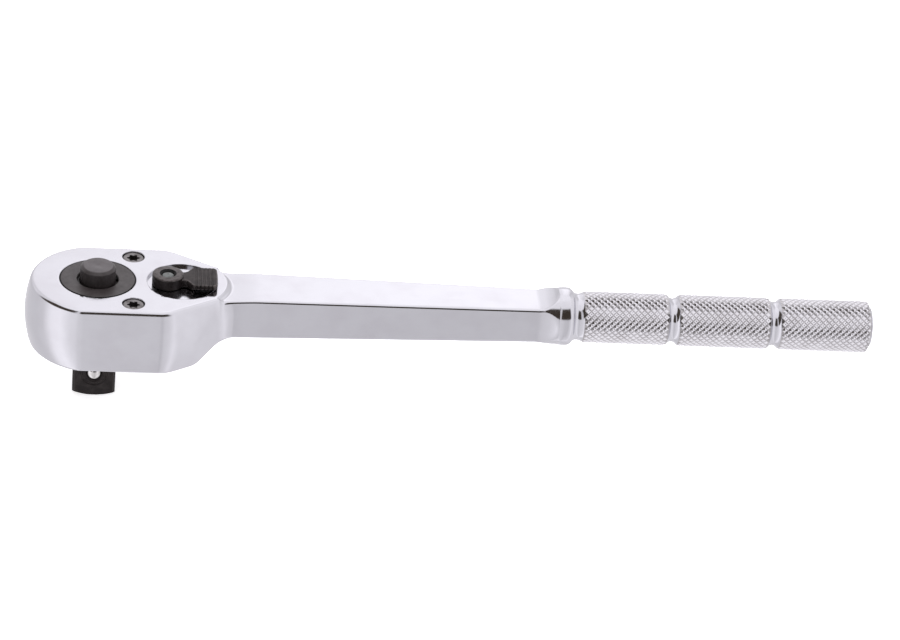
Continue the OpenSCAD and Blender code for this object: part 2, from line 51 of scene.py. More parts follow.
AXIS_Z = 13.7  # height of the handle's axis
LEVER_X = 20.6  # distance of the lever's axis from the drive axis
SCREW_AT = (10.5, 13.73)  # the back cover screw in plan; the front one is its mirror image
BALL_Z = -8.2  # height of the ball's centre
SCREW_SEAT = 18.05  # height of the face that the screws' heads stand on

Pair = tuple[float, float]
Triple = tuple[float, float, float]
Colour = tuple[float, float, float]
Piece = bpy.types.Object
Socket = bpy.types.NodeSocket
Tree = bpy.types.NodeTree
Feeds = dict[str | int, Socket | float | Sequence[float]]


class Body(Enum):
    """The bodies that the new pieces ride on."""

    HANDLE = "handle"
    DRIVE = "drive"
    BUTTON = "button"
    BALL = "ball"
    LEVER = "lever"


class Slot(Enum):
    """The record's material slots, named for each new piece."""

    CHROME = "chrome"
    BLACK_STEEL = "black_steel"
    BARE_STEEL = "bare_steel"


class Cut(Enum):
    """How one solid acts on another."""

    AWAY = "DIFFERENCE"
    ADD = "UNION"
    COMMON = "INTERSECT"


# ---------------------------------------------------------------- the bench


def metres(point: Sequence[float]) -> Vector:
    """Turns a point in millimetres into a vector in metres."""
    return Vector(point) * MM


def ease(low: float, high: float, value: float) -> float:
    """Rises smoothly from 0 at low to 1 at high.

    Args:
        low: where the rise starts.
        high: where it ends.
        value: where it is asked for.

    Returns:
        A share from 0 to 1.
    """
    share = min(1.0, max(0.0, (value - low) / (high - low)))
    return share * share * (3 - 2 * share)


def quarter(centre: Pair, radius: float, start: float, end: float, steps: int) -> list[Pair]:
    """Points of an arc in a profile.

    Args:
        centre: the arc's centre.
        radius: its radius.
        start: its first angle, in degrees.
        end: its last angle, in degrees.
        steps: how many chords it has.

    Returns:
        The points from start to end.
    """
    points = []
    for step in range(steps + 1):
        angle = math.radians(start + (end - start) * step / steps)
        points.append((centre[0] + radius * math.cos(angle), centre[1] + radius * math.sin(angle)))
    return points


class Bench:
    """The few moves by which each piece is made."""

    @staticmethod
    def hold(piece: Piece) -> None:
        """Leaves edit mode, deselects everything and makes one piece the active one.

        Args:
            piece: the piece to hold.
        """
        if bpy.context.object is not None and bpy.context.object.mode != "OBJECT":
            bpy.ops.object.mode_set(mode="OBJECT")
        bpy.ops.object.select_all(action="DESELECT")
        piece.select_set(True)
        bpy.context.view_layer.objects.active = piece

    @staticmethod
    def open(piece: Piece, select: str = "SELECT") -> None:
        """Opens a piece in edit mode with all of it selected or deselected.

        Args:
            piece: the piece to open.
            select: SELECT or DESELECT.
        """
        Bench.hold(piece)
        bpy.ops.object.mode_set(mode="EDIT")
        bpy.ops.mesh.select_all(action=select)

    @staticmethod
    def close() -> None:
        """Goes back to object mode."""
        bpy.ops.object.mode_set(mode="OBJECT")

    @staticmethod
    def name(piece: Piece, name: str) -> Piece:
        """Names a piece and its mesh, and puts its place into its mesh.

        Args:
            piece: the piece.
            name: its name.

        Returns:
            The same piece.
        """
        piece.name = name
        piece.data.name = name
        Bench.hold(piece)
        bpy.ops.object.transform_apply(location=True, rotation=True, scale=True)
        return piece

    @staticmethod
    def start(name: str, primitive: Callable[..., set], **sizes: float | Sequence[float]) -> Piece:
        """Adds a primitive on its own and names it.

        Args:
            name: the piece's name.
            primitive: the operator that adds it.
            sizes: its size and place, as the operator takes them.

        Returns:
            The new piece.
        """
        bpy.ops.object.select_all(action="DESELECT")
        primitive(**sizes)
        return Bench.name(bpy.context.object, name)

    @staticmethod
    def heal(piece: Piece) -> None:
        """Merges doubled vertices, drops loose ones and points every face outwards.

        Args:
            piece: the piece to heal.
        """
        Bench.open(piece)
        bpy.ops.mesh.remove_doubles(threshold=TINY)
        bpy.ops.mesh.dissolve_degenerate(threshold=TINY)
        bpy.ops.mesh.select_all(action="SELECT")
        bpy.ops.mesh.delete_loose(use_verts=True, use_edges=True, use_faces=False)
        bpy.ops.mesh.select_all(action="SELECT")
        bpy.ops.mesh.normals_make_consistent(inside=False)
        Bench.close()

    @staticmethod
    def draw(name: str, points: Sequence[Sequence[float]]) -> Piece:
        """Draws a chain of edges by extruding one vertex from point to point.

        Args:
            name: the piece's name.
            points: the chain's points, in millimetres.

        Returns:
            The new piece.
        """
        piece = Bench.start(name, bpy.ops.mesh.primitive_plane_add, size=MM, location=(0, 0, 0))
        Bench.open(piece)
        bpy.ops.mesh.merge(type="CENTER")
        bpy.ops.transform.translate(value=metres(points[0]))
        for here, there in zip(points, points[1:]):
            step = metres(there) - metres(here)
            bpy.ops.mesh.extrude_vertices_move(TRANSFORM_OT_translate={"value": step})
        Bench.close()
        return piece

    @staticmethod
    def prism(name: str, outline: Sequence[Pair], low: float, high: float) -> Piece:
        """Draws a closed outline and extrudes it upwards.

        Args:
            name: the piece's name.
            outline: the corners in plan.
            low: the height of its bottom.
            high: the height of its top.

        Returns:
            A closed solid.
        """
        piece = Bench.draw(name, [(x, y, low) for x, y in outline])
        Bench.open(piece, "DESELECT")
        Bench.close()
        piece.data.vertices[0].select = True
        piece.data.vertices[len(piece.data.vertices) - 1].select = True
        bpy.ops.object.mode_set(mode="EDIT")
        bpy.ops.mesh.edge_face_add()
        bpy.ops.mesh.select_all(action="SELECT")
        bpy.ops.mesh.edge_face_add()
        rise = {"value": (0, 0, (high - low) * MM)}
        bpy.ops.mesh.extrude_region_move(TRANSFORM_OT_translate=rise)
        Bench.close()
        Bench.heal(piece)
        return piece

    @staticmethod
    def wrapped(name: str, posts: Sequence[Triple], low: float, high: float) -> Piece:
        """Stands round posts and wraps them in one convex solid.

        Args:
            name: the piece's name.
            posts: x, y and radius of each post.
            low: the height of their feet.
            high: the height of their tops.

        Returns:
            A closed solid.
        """
        sides = 96
        parts = []
        for x, y, radius in posts:
            bpy.ops.object.select_all(action="DESELECT")
            place = metres((x, y, (low + high) / 2))
            bpy.ops.mesh.primitive_cylinder_add(
                vertices=sides, radius=radius * MM, depth=(high - low) * MM, location=place
            )
            parts.append(bpy.context.object)
        for part in parts:
            part.select_set(True)
        bpy.ops.object.join()
        piece = Bench.name(bpy.context.object, name)
        Bench.open(piece)
        bpy.ops.mesh.convex_hull(use_existing_faces=False, join_triangles=True)
        bpy.ops.mesh.select_all(action="SELECT")
        bpy.ops.mesh.dissolve_limited(angle_limit=math.radians(0.2))
        Bench.close()
        Bench.heal(piece)
        return piece

    @staticmethod
    def work(piece: Piece, tool: Piece, cut: Cut = Cut.AWAY) -> None:
        """Cuts or joins a piece with a tool solid, which is used up.

        Args:
            piece: the piece that stays.
            tool: the solid that acts on it.
            cut: what the tool does.
        """
        modifier = piece.modifiers.new("work", "BOOLEAN")
        modifier.operation = cut.value
        modifier.solver = "EXACT"
        modifier.object = tool
        Bench.hold(piece)
        bpy.ops.object.modifier_apply(modifier=modifier.name)
        bpy.data.objects.remove(tool, do_unlink=True)

    @staticmethod
    def soften(piece: Piece, width: float, segments: int = 2, angle: float = 30.0) -> None:
        """Rounds the sharp edges; the rounded faces take the piece's second material.

        Args:
            piece: the piece to soften.
            width: the bevel's width, in millimetres.
            segments: how many faces a rounding has.
            angle: the least angle of an edge that is rounded, in degrees.
        """
        modifier = piece.modifiers.new("soften", "BEVEL")
        modifier.width = width * MM
        modifier.segments = segments
        modifier.limit_method = "ANGLE"
        modifier.angle_limit = math.radians(angle)
        modifier.use_clamp_overlap = True
        modifier.miter_outer = "MITER_ARC"
        modifier.material = 1
        Bench.hold(piece)
        bpy.ops.object.modifier_apply(modifier=modifier.name)

    @staticmethod
    def shade(piece: Piece, angle: float = 32.0) -> None:
        """Shades curved faces smoothly and keeps large flat faces flat.

        Args:
            piece: the piece to shade.
            angle: the least angle of an edge that stays sharp, in degrees.
        """
        Bench.hold(piece)
        bpy.ops.object.shade_smooth_by_angle(angle=math.radians(angle))
        modifier = piece.modifiers.new("weigh", "WEIGHTED_NORMAL")
        modifier.keep_sharp = True
        modifier.weight = 80
        bpy.ops.object.modifier_apply(modifier=modifier.name)


@dataclass(frozen=True)
class Lathe:
    """A lathe that turns a profile of (radius, distance along the axis) pairs.

    Attributes:
        centre: a point of the axis, in millimetres.
        axis: the direction of the axis.
        side: the direction in which the profile's radius is drawn.
        steps: how many faces a full turn has.
    """

    centre: Triple = (0.0, 0.0, 0.0)
    axis: Triple = (0.0, 0.0, 1.0)
    side: Triple = (1.0, 0.0, 0.0)
    steps: int = 96

    def rod(self, name: str, radius: float, low: float, high: float) -> Piece:
        """A plain round rod from low to high."""
        return self.turn(name, [(0, low), (radius, low), (radius, high), (0, high)])

    def turn(self, name: str, profile: Sequence[Pair]) -> Piece:
        """Turns a profile that starts and ends on the axis into a closed solid.

        Args:
            name: the piece's name.
            profile: pairs of radius and distance along the axis.

        Returns:
            The turned solid.
        """
        centre, axis, side = Vector(self.centre), Vector(self.axis), Vector(self.side)
        points = [centre + side * radius + axis * along for radius, along in profile]
        piece = Bench.draw(name, points)
        Bench.open(piece)
        bpy.ops.mesh.spin(steps=self.steps, angle=math.tau, center=centre * MM, axis=axis)
        Bench.close()
        Bench.heal(piece)
        return piece

    def plug(self, name: str, radius: float, low: float, high: float, mouth: float) -> Piece:
        """A plug that drills a hole with a rounded mouth at its upper end.

        Args:
            name: the plug's name.
            radius: the hole's radius.
            low: where the hole ends.
            high: the height of the face that it opens in.
            mouth: the radius of the rounding round the mouth.

        Returns:
            The plug.
        """
        above = 1.0
        rounding = quarter((radius + mouth, high - mouth), mouth, 180, 90, 4)
        profile = [(0, low), (radius, low), *rounding, (radius + mouth, high + above), (0, high + above)]
        return self.turn(name, profile)


UPRIGHT = Lathe()


# ---------------------------------------------------------------- the finishes


def node(tree: Tree, kind: str, inputs: Feeds, **settings: str) -> bpy.types.Node:
    """Adds a shader node, sets it and feeds its inputs.

    Args:
        tree: the nodes that it joins.
        kind: its type, without the usual prefix.
        inputs: a value or another node's socket for each input.
        settings: its own choices.

    Returns:
        The new node.
    """
    made = tree.nodes.new(f"ShaderNode{kind}")
    for key, choice in settings.items():
        setattr(made, key, choice)
    for key, value in inputs.items():
        if isinstance(value, Socket):
            tree.links.new(value, made.inputs[key])
        else:
            made.inputs[key].default_value = value
    return made


class Sheet:
    """The node sheet of one material, whose patterns lie on object coordinates."""

    def __init__(self, name: str) -> None:
        """Starts an empty sheet with one Principled shader.

        Args:
            name: the material's name.
        """
        self.material = bpy.data.materials.new(name)
        self.material.use_nodes = True
        self.tree = self.material.node_tree
        self.shader = self.tree.nodes["Principled BSDF"]
        self.place = node(self.tree, "TexCoord", {}).outputs["Object"]

    def feed(self, name: str, source: Socket | float) -> None:
        """Sets one input of the shader, or wires it."""
        if isinstance(source, Socket):
            self.tree.links.new(source, self.shader.inputs[name])
        else:
            self.shader.inputs[name].default_value = source

    def stretch(self, scale: Triple) -> Socket:
        """The object coordinates, scaled along each axis."""
        return node(self.tree, "Mapping", {"Scale": scale, "Vector": self.place}).outputs["Vector"]

    def noise(self, scale: float, detail: float, place: Socket | None = None) -> Socket:
        """A noise pattern.

        Args:
            scale: its frequency, per metre.
            detail: how many finer layers it has.
            place: the coordinates it lies on, or None for the plain ones.

        Returns:
            Its value, around a half.
        """
        inputs = {"Scale": scale, "Detail": detail, "Vector": place or self.place}
        return node(self.tree, "TexNoise", inputs).outputs["Fac"]

    def span(self, value: Socket, source: Pair, target: Pair) -> Socket:
        """Maps one range of a value on to another, and clamps it there.

        Args:
            value: the value.
            source: the range that it comes from.
            target: the range that it goes to.

        Returns:
            The mapped value.
        """
        inputs = {
            "Value": value, "From Min": source[0], "From Max": source[1],
            "To Min": target[0], "To Max": target[1],
        }
        return node(self.tree, "MapRange", inputs).outputs["Result"]

    def math(self, kind: str, one: Socket, two: Socket) -> Socket:
        """One step of arithmetic on two values."""
        return node(self.tree, "Math", {0: one, 1: two}, operation=kind).outputs["Value"]

    def mix(self, share: Socket, one: Colour | Socket, two: Colour) -> Socket:
        """Mixes two colours by a share that varies over the surface.

        Args:
            share: how much of the second colour there is.
            one: the first colour.
            two: the second colour.

        Returns:
            The mixed colour.
        """
        inputs = {"Factor": share, "A": (*one, 1) if isinstance(one, tuple) else one, "B": (*two, 1)}
        return node(self.tree, "Mix", inputs, data_type="RGBA").outputs["Result"]

    def bump(self, height: Socket, depth: float) -> None:
        """Gives the surface a relief of a given depth, in metres."""
        relief = node(self.tree, "Bump", {"Strength": 1.0, "Distance": depth, "Height": height})
        self.feed("Normal", relief.outputs["Normal"])


@dataclass(frozen=True)
class Finish:
    """A metal or rubber surface with its own mottling, sheen and fine marks.

    Attributes:
        name: the finish's name.
        light: the colour of clean surface.
        dark: the colour of the stained and handled surface.
        metallic: 1 on bare or plated metal, 0 on rubber.
        shine: how strongly a surface that is no bare metal mirrors.
        sheen: the least and most roughness.
        mottle: the frequency of the stains, per metre.
        ripple: the frequency of the relief, per metre.
        depth: the depth of the relief, in metres.
        marks: how strongly fine marks of handling show.
        along: how the marks are stretched along each axis.
    """

    name: str
    light: Colour
    dark: Colour
    metallic: float = 1.0
    shine: float = 0.5
    sheen: Pair = (0.2, 0.35)
    mottle: float = 260.0
    ripple: float = 1400.0
    depth: float = 2e-6
    marks: float = 0.3
    along: Triple = (1.0, 1.0, 1.0)

    def stained(self, sheet: Sheet) -> Socket:
        """The colour, which passes from clean to stained in soft clouds and fine marks.

        Args:
            sheet: the material's sheet.

        Returns:
            The colour.
        """
        fineness = 22
        clouds = sheet.span(sheet.noise(self.mottle, 5.0), (0.42, 0.72), (0.0, 1.0))
        fine = sheet.noise(self.mottle * fineness, 3.0, sheet.stretch(self.along))
        marks = sheet.span(fine, (0.6, 0.74), (0.0, self.marks))
        return sheet.mix(sheet.math("MAXIMUM", clouds, marks), self.light, self.dark)

    def make(self) -> bpy.types.Material:
        """Makes the material once, and hands out the same one after that.

        Returns:
            The material.
        """
        made = bpy.data.materials.get(self.name)
        if made is not None:
            return made
        smear_fineness = 2.7
        sheet = Sheet(self.name)
        smear = sheet.noise(self.mottle * smear_fineness, 6.0, sheet.stretch(self.along))
        sheet.feed("Metallic", self.metallic)
        sheet.feed("Specular IOR Level", self.shine)
        sheet.feed("Base Color", self.stained(sheet))
        sheet.feed("Roughness", sheet.span(smear, (0.35, 0.7), self.sheen))
        sheet.bump(sheet.noise(self.ripple, 3.0), self.depth)
        return sheet.material


@dataclass(frozen=True)
class KnurlFinish(Finish):
    """Chrome on a knurl, with valleys between the crests dulled and darkened by dirt and painted shade.

    Attributes:
        valley_r: the radius at the bottom of the valleys.
        crest_r: the radius at the crests.
        valley_dirt_and_shade: the colour of dirt and painted shade deep in the valleys.
    """

    valley_r: float = 7.4
    crest_r: float = 7.74
    valley_dirt_and_shade: Colour = (0.36, 0.345, 0.345)

    def stained(self, sheet: Sheet) -> Socket:
        """The colour, darkened with dirt and painted shade by how deep a point lies below the crests.

        Args:
            sheet: the material's sheet.

        Returns:
            The colour.
        """
        to_axis = {0: sheet.place, 1: (0, 1, 1), 2: (0, 0, -AXIS_Z * MM)}
        from_axis = node(sheet.tree, "VectorMath", to_axis, operation="MULTIPLY_ADD").outputs["Vector"]
        reach = node(sheet.tree, "VectorMath", {0: from_axis}, operation="LENGTH").outputs["Value"]
        clear_of_shade_r = self.valley_r * 0.4 + self.crest_r * 0.6
        # dirt and painted shade: the deeper in the valleys, the darker
        valley = sheet.span(reach, (self.valley_r * MM, clear_of_shade_r * MM), (1.0, 0.0))
        patchy = sheet.span(sheet.noise(self.mottle, 4.0), (0.3, 0.7), (0.55, 1.0))
        return sheet.mix(sheet.math("MULTIPLY", valley, patchy), super().stained(sheet), self.valley_dirt_and_shade)


CHROME = Finish(
    "polished_chrome", (0.615, 0.615, 0.645), (0.58, 0.575, 0.605), sheen=(0.09, 0.16), mottle=120.0,
    ripple=700.0, depth=1.1e-6, marks=0.5, along=(0.25, 1.0, 1.0),
)
# A lighter copy of the chrome for the knurl: painted light that brightens the grip.
KNURLED_CHROME = KnurlFinish(
    "knurled_chrome", (0.78, 0.775, 0.8), (0.7, 0.69, 0.71), sheen=(0.19, 0.3), depth=1.5e-6, marks=0.4,
)
BLACK_STEEL = Finish(
    "black_steel_satin", (0.031, 0.026, 0.026), (0.02, 0.016, 0.016), metallic=0.15, sheen=(0.34, 0.48),
    mottle=300.0, ripple=5200.0, depth=6e-6, marks=0.6,
)
LEVER_BLACK = Finish(
    "lever_steel_black", (0.014, 0.011, 0.011), (0.03, 0.025, 0.024), metallic=0.05, shine=0.16,
    sheen=(0.28, 0.42), mottle=420.0, ripple=5200.0, depth=5e-6, marks=0.8,
)
# Near-black finish for the disc's rim, the mouth of the lever's rivet bore and the button's retaining ring:
# painted shade in gaps and recesses.
GAP_SHADE_BLACK = Finish(
    "gap_painted_shade_black", (0.006, 0.006, 0.006), (0.012, 0.011, 0.01), metallic=0.0, shine=0.12,
    sheen=(0.3, 0.45), mottle=500.0, ripple=4200.0, depth=4e-6, marks=0.5,
)
# Lighter black on softened edges and on the lever boss's upward faces: edge wear and a painted highlight.
WEAR_AND_HIGHLIGHT_BLACK = Finish(
    "black_steel_wear_and_painted_highlight", (0.085, 0.075, 0.073), (0.03, 0.025, 0.025), metallic=0.7, sheen=(0.26, 0.42),
    mottle=900.0, ripple=5200.0, depth=5e-6, marks=0.9,
)
# Lighter black for the button's flat top: a painted highlight on the face that looks up.
BUTTON_LIT_TOP = Finish(
    "button_top_painted_highlight", (0.085, 0.077, 0.08), (0.062, 0.056, 0.058), metallic=0.5, sheen=(0.3, 0.4),
    mottle=260.0, ripple=5200.0, depth=3e-6, marks=0.25,
)
SCREW_STEEL = Finish(
    "screw_steel_grey", (0.2, 0.19, 0.19), (0.09, 0.08, 0.08), metallic=0.8, sheen=(0.28, 0.42),
    mottle=800.0, ripple=5200.0, depth=4e-6, marks=0.7,
)
SPINDLE_STEEL = Finish(
    "spindle_steel_polished", (0.17, 0.18, 0.175), (0.09, 0.095, 0.09), sheen=(0.08, 0.18), mottle=700.0,
    depth=1e-6, marks=0.6,
)
BALL_STEEL = Finish(
    "ball_steel_polished", (0.66, 0.65, 0.64), (0.5, 0.49, 0.47), sheen=(0.06, 0.16), mottle=900.0,
    depth=1e-6, marks=0.8,
)
BARE_STEEL = Finish(
    "bare_steel_ground", (0.56, 0.56, 0.57), (0.38, 0.37, 0.36), sheen=(0.22, 0.4), mottle=320.0,
    ripple=3800.0, depth=3e-6, marks=0.8, along=(1.0, 1.0, 0.12),
)
SPRING_STEEL = Finish(
    "spring_steel_drawn", (0.42, 0.42, 0.44), (0.26, 0.25, 0.25), sheen=(0.25, 0.4), mottle=600.0,
    ripple=4200.0, depth=2e-6, marks=0.6,
)
BRONZE = Finish(
    "bearing_bronze", (0.62, 0.41, 0.2), (0.36, 0.21, 0.1), sheen=(0.28, 0.46), mottle=380.0,
    ripple=4000.0, depth=3e-6, marks=0.7,
)
RUBBER = Finish(
    "seal_rubber_black", (0.028, 0.028, 0.029), (0.045, 0.045, 0.046), metallic=0.0, sheen=(0.5, 0.68),
    mottle=700.0, ripple=5200.0, depth=8e-6, marks=0.5,
)


def dress(piece: Piece, *finishes: Finish) -> None:
    """Gives a piece its finishes; a second one lies on the softened edges.

    Args:
        piece: the piece.
        finishes: one or two finishes.
    """
    piece.data.materials.clear()
    for finish in finishes:
        piece.data.materials.append(finish.make())


def fit(piece: Piece, body: Body, slot: Slot, *nodes: str) -> None:
    """Makes a piece ride on its body and stand for its CAD nodes, and reports it.

    Args:
        piece: the finished piece.
        body: the body it moves with.
        slot: the record's material slot; not used.
        nodes: the CAD nodes it stands for.
    """
    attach(piece, body.value)
    if nodes:
        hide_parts(*nodes)
    LOG.info("%s rides on %s with %d faces", piece.name, body.value, len(piece.data.polygons))


# ---------------------------------------------------------------- head and handle


@dataclass(frozen=True)
class Station:
    """A place on the plan outline: a point, and the way out of the wall there.

    Attributes:
        x: the point's place along the handle.
        y: its place across.
        out_x: the way out, along the handle.
        out_y: the way out, across.
    """

    x: float
    y: float
    out_x: float
    out_y: float

    def moved(self, out: float, z: float) -> Triple:
        """The point at a height, moved outwards."""
        return (self.x + self.out_x * out, self.y + self.out_y * out, z)


@dataclass
class PlanOutline:
    """Half of the outline in plan, from the tip of the nose to the collar.

    Attributes:
        nose_r: radius of the nose about the drive axis.
        half_w: half the width across the flat sides.
        corner_r: softening between nose and side.
        shoulder_x: where the side would meet the taper.
        shoulder_r: softening of the shoulder.
        taper: angle of the taper to the handle, in degrees.
        hollow_r: radius of the hollow between taper and shank.
        shank_w: half width of the shank at its reference place.
        shank_fall: how much the half width falls per millimetre.
        shank_ref: that reference place.
        dense: length of the shank's start, where the stations lie closer.
        flare_x: where the flare up to the collar begins.
        end_x: where the forged bar ends, inside the collar.
    """

    nose_r: float = 19.6
    half_w: float = 19.0
    corner_r: float = 6.0
    shoulder_x: float = 20.8
    shoulder_r: float = 9.0
    taper: float = 32.0
    hollow_r: float = 12.0
    shank_w: float = 8.75
    shank_fall: float = 0.0233
    shank_ref: float = 42.0
    dense: float = 12.0
    flare_x: float = 130.4
    end_x: float = 138.6

    def arc(self, centre: Pair, radius: float, start: float, end: float, steps: int) -> list[Station]:
        """Stations of an arc, without its last point.

        Args:
            centre: the arc's centre.
            radius: its radius; a negative one makes it hollow.
            start: the way out at its start, in degrees.
            end: the way out at its end.
            steps: how many chords it has.

        Returns:
            The stations in order.
        """
        made = []
        for step in range(steps):
            angle = math.radians(start + (end - start) * step / steps)
            out = (math.cos(angle), math.sin(angle))
            made.append(Station(centre[0] + radius * out[0], centre[1] + radius * out[1], *out))
        return made

    def line(self, start: Pair, end: Pair, facing: float, steps: int, closed: bool = False) -> list[Station]:
        """Stations of a straight wall.

        Args:
            start: its first point.
            end: its last point.
            facing: the way out, in degrees.
            steps: how many parts it has.
            closed: whether the last point has a station too.

        Returns:
            The stations in order.
        """
        out = (math.cos(math.radians(facing)), math.sin(math.radians(facing)))
        made = []
        for step in range(steps + closed):
            share = step / steps
            x = start[0] + (end[0] - start[0]) * share
            made.append(Station(x, start[1] + (end[1] - start[1]) * share, *out))
        return made

    def on_shank(self, x: float) -> Pair:
        """The point of the shank's side at a place along it."""
        return (x, self.shank_half(x))

    def shank_half(self, x: float) -> float:
        """Half width of the shank at a place along it."""
        return self.shank_w - self.shank_fall * (x - self.shank_ref)

    def stations(self) -> list[Station]:
        """All stations, from the tip of the nose to the collar.

        Returns:
            The stations in order.
        """
        rise = self.half_w - self.corner_r
        corner_x = -math.sqrt((self.nose_r - self.corner_r) ** 2 - rise ** 2)
        corner_a = math.degrees(math.atan2(rise, corner_x))
        slope = math.radians(self.taper)
        bend_x = self.shoulder_x - self.shoulder_r * math.tan(slope / 2)
        bend_y = self.half_w - self.shoulder_r
        taper_start = (bend_x + self.shoulder_r * math.sin(slope), bend_y + self.shoulder_r * math.cos(slope))
        drop = self.half_w - self.shank_half(0.0)
        meet_x = (drop + math.tan(slope) * self.shoulder_x) / (math.tan(slope) - self.shank_fall)
        meet_y = self.shank_half(meet_x)
        shank_a = math.degrees(math.atan(self.shank_fall))
        reach = self.hollow_r * math.tan(math.radians(self.taper - shank_a) / 2)
        hollow_start = (meet_x - reach * math.cos(slope), meet_y + reach * math.sin(slope))
        hollow_centre = (
            hollow_start[0] + self.hollow_r * math.sin(slope),
            hollow_start[1] + self.hollow_r * math.cos(slope),
        )
        shank_start = meet_x + reach * math.cos(math.radians(shank_a))
        near = shank_start + self.dense
        side_a = 90 - self.taper
        shank_side_a = 90 - shank_a
        return [
            *self.arc((0, 0), self.nose_r, 180, corner_a, 28),
            *self.arc((corner_x, rise), self.corner_r, corner_a, 90, 5),
            *self.line((corner_x, self.half_w), (bend_x, self.half_w), 90, 8),
            *self.arc((bend_x, bend_y), self.shoulder_r, 90, side_a, 8),
            *self.line(taper_start, hollow_start, side_a, 22),
            *self.arc(hollow_centre, -self.hollow_r, side_a, shank_side_a, 22),
            *self.line(self.on_shank(shank_start), self.on_shank(near), shank_side_a, 12),
            *self.line(self.on_shank(near), self.on_shank(self.flare_x), shank_side_a, 14),
            *self.line(self.on_shank(self.flare_x), self.on_shank(self.end_x), 90, 18, closed=True),
        ]


@dataclass
class ForgedHandle:
    """Head, shank and collar in one chromed forging, with the core of the grip turned on its end.

    Attributes:
        shank_h: half height of the shank at the reference place.
        shank_ref: that reference place.
        shank_fall: how much the half height falls per millimetre.
        shank_low: how far the underside of the shank lies below the axis.
        step_dip: depth of the dip behind the rounded end of the head.
        dip_fade: where the dip begins and ends to fade, from the rounded end.
        crown: bulge of the head's wall at half its height.
        shank_crown: bulge of the shank's sides.
        crown_fade: where the first passes into the second.
        top_round: rounding round the top.
        low_round: rounding round the underside.
        end_r: radius of the head's rounded end.
        end_x: its furthest point.
        bow: how far the lines across the top bow to follow that end.
        bow_in: where the bow begins.
        bow_out: where it fades.
        step_x: first and last place of the step down to the shank.
        blend_r: radii of the underside's convex start and of its hollow end.
        blend_slope: angle of the slope between them, in degrees.
        blend_x: where the underside reaches the shank.
        low_steps: points of a line on the underside.
        round_steps: points of a rounding.
        wall_steps: points of the wall.
        top_steps: points on the top.
        collar_r: radius of the collar.
        collar_x: first and last place of the collar.
        collar_edge: how far its crown falls towards its ends.
        rim_drop: the same at its front, where it meets the shank's flare.
        collar_bend: how late the crown falls.
        flare: first and last place of the shank's flare.
        flare_rise: height of the circle's arc that the flare follows.
        flare_r: radius at the flare's end.
        core_r: radius of the grip's core.
        grooves: first place, last place and least radius of each groove.
        groove_bend: how steep the grooves' walls are.
        grip_edge_r: radius of the sleeves' edges.
        grip_end: the grip's end.
        cap: radius and rounding of the core's end.
        cap_x: first and last place of the cone before it, from the grip's end.
        recess: depth of the cover's recess.
        cover_gap: gap round the cover.
        ceiling: height of the gear cavity.
        gear_bore_r: radius of the gear cavity.
        journal_bore_r: radius of the bore for the disc.
        pawl_r: radius of the pawl's pocket round the lever's axis.
        wings: x and y of the pocket's ends beside the gear.
        wing_r: radius of the pocket there.
        thumb_pocket: centre from the lever's axis, and radius, of the pocket under the lever.
        spindle_bore_r: radius of the spindle's bore.
        screw_bore_r: radii of a screw's counterbore and of its hole.
    """

    shank_h: float = 6.31
    shank_ref: float = 42.0
    shank_fall: float = 0.0091
    shank_low: float = 6.7
    step_dip: float = 0.4
    dip_fade: Pair = (-2.0, 9.0)
    crown: float = 1.65
    shank_crown: float = 0.2
    crown_fade: Pair = (28.0, 42.0)
    top_round: float = 1.3
    low_round: float = 1.2
    end_r: float = 13.2
    end_x: float = 39.1
    bow: float = 3.1
    bow_in: Pair = (14.0, 34.0)
    bow_out: Pair = (38.5, 52.0)
    step_x: Pair = (35.7, 37.3)
    blend_r: Pair = (4.0, 10.0)
    blend_slope: float = 40.0
    blend_x: float = 41.5
    low_steps: int = 4
    round_steps: int = 6
    wall_steps: int = 14
    top_steps: int = 9
    collar_r: float = 8.75
    collar_x: Pair = (137.1, 141.5)
    collar_edge: float = 0.75
    rim_drop: float = 0.22
    collar_bend: float = 3.2
    flare: Pair = (130.4, 137.3)
    flare_rise: float = 3.0
    flare_r: float = 8.52
    core_r: float = 7.1
    grooves: tuple[Triple, ...] = ((141.5, 144.8, 7.0), (170.3, 173.6, 6.55), (201.1, 204.4, 6.55))
    groove_bend: float = 0.7
    grip_edge_r: float = 7.45
    grip_end: float = 232.5
    cap: Pair = (6.05, 0.4)
    cap_x: Pair = (2.4, 1.2)
    recess: float = 3.2
    cover_gap: float = 0.1
    ceiling: float = 16.5
    gear_bore_r: float = 13.8
    journal_bore_r: float = 11.26
    pawl_r: float = 5.8
    wings: tuple[Pair, Pair] = ((11.63, 8.15), (13.52, 9.83))
    wing_r: float = 1.8
    thumb_pocket: Pair = (4.2, 10.3)
    spindle_bore_r: float = 3.06
    screw_bore_r: Pair = (3.3, 2.15)

    def shank_top(self, x: float) -> float:
        """Height of the shank's top."""
        return AXIS_Z + self.shank_h - self.shank_fall * (x - self.shank_ref)

    def level(self, edge_x: float, x: float) -> float:
        """Height of the top face: the head's, then a hollow step down to the shank's.

        Args:
            edge_x: where the line that the point lies on meets the wall.
            x: the point's own place.

        Returns:
            The height.
        """
        share = min(1.0, max(0.0, (edge_x - self.step_x[0]) / (self.step_x[1] - self.step_x[0])))
        fall = 1 - (1 - share) ** 2
        fade = ease(self.end_x + self.dip_fade[0], self.end_x + self.dip_fade[1], x)
        foot = self.shank_top(x) - self.step_dip * (1 - fade)
        return HEAD_TOP + (foot - HEAD_TOP) * fall

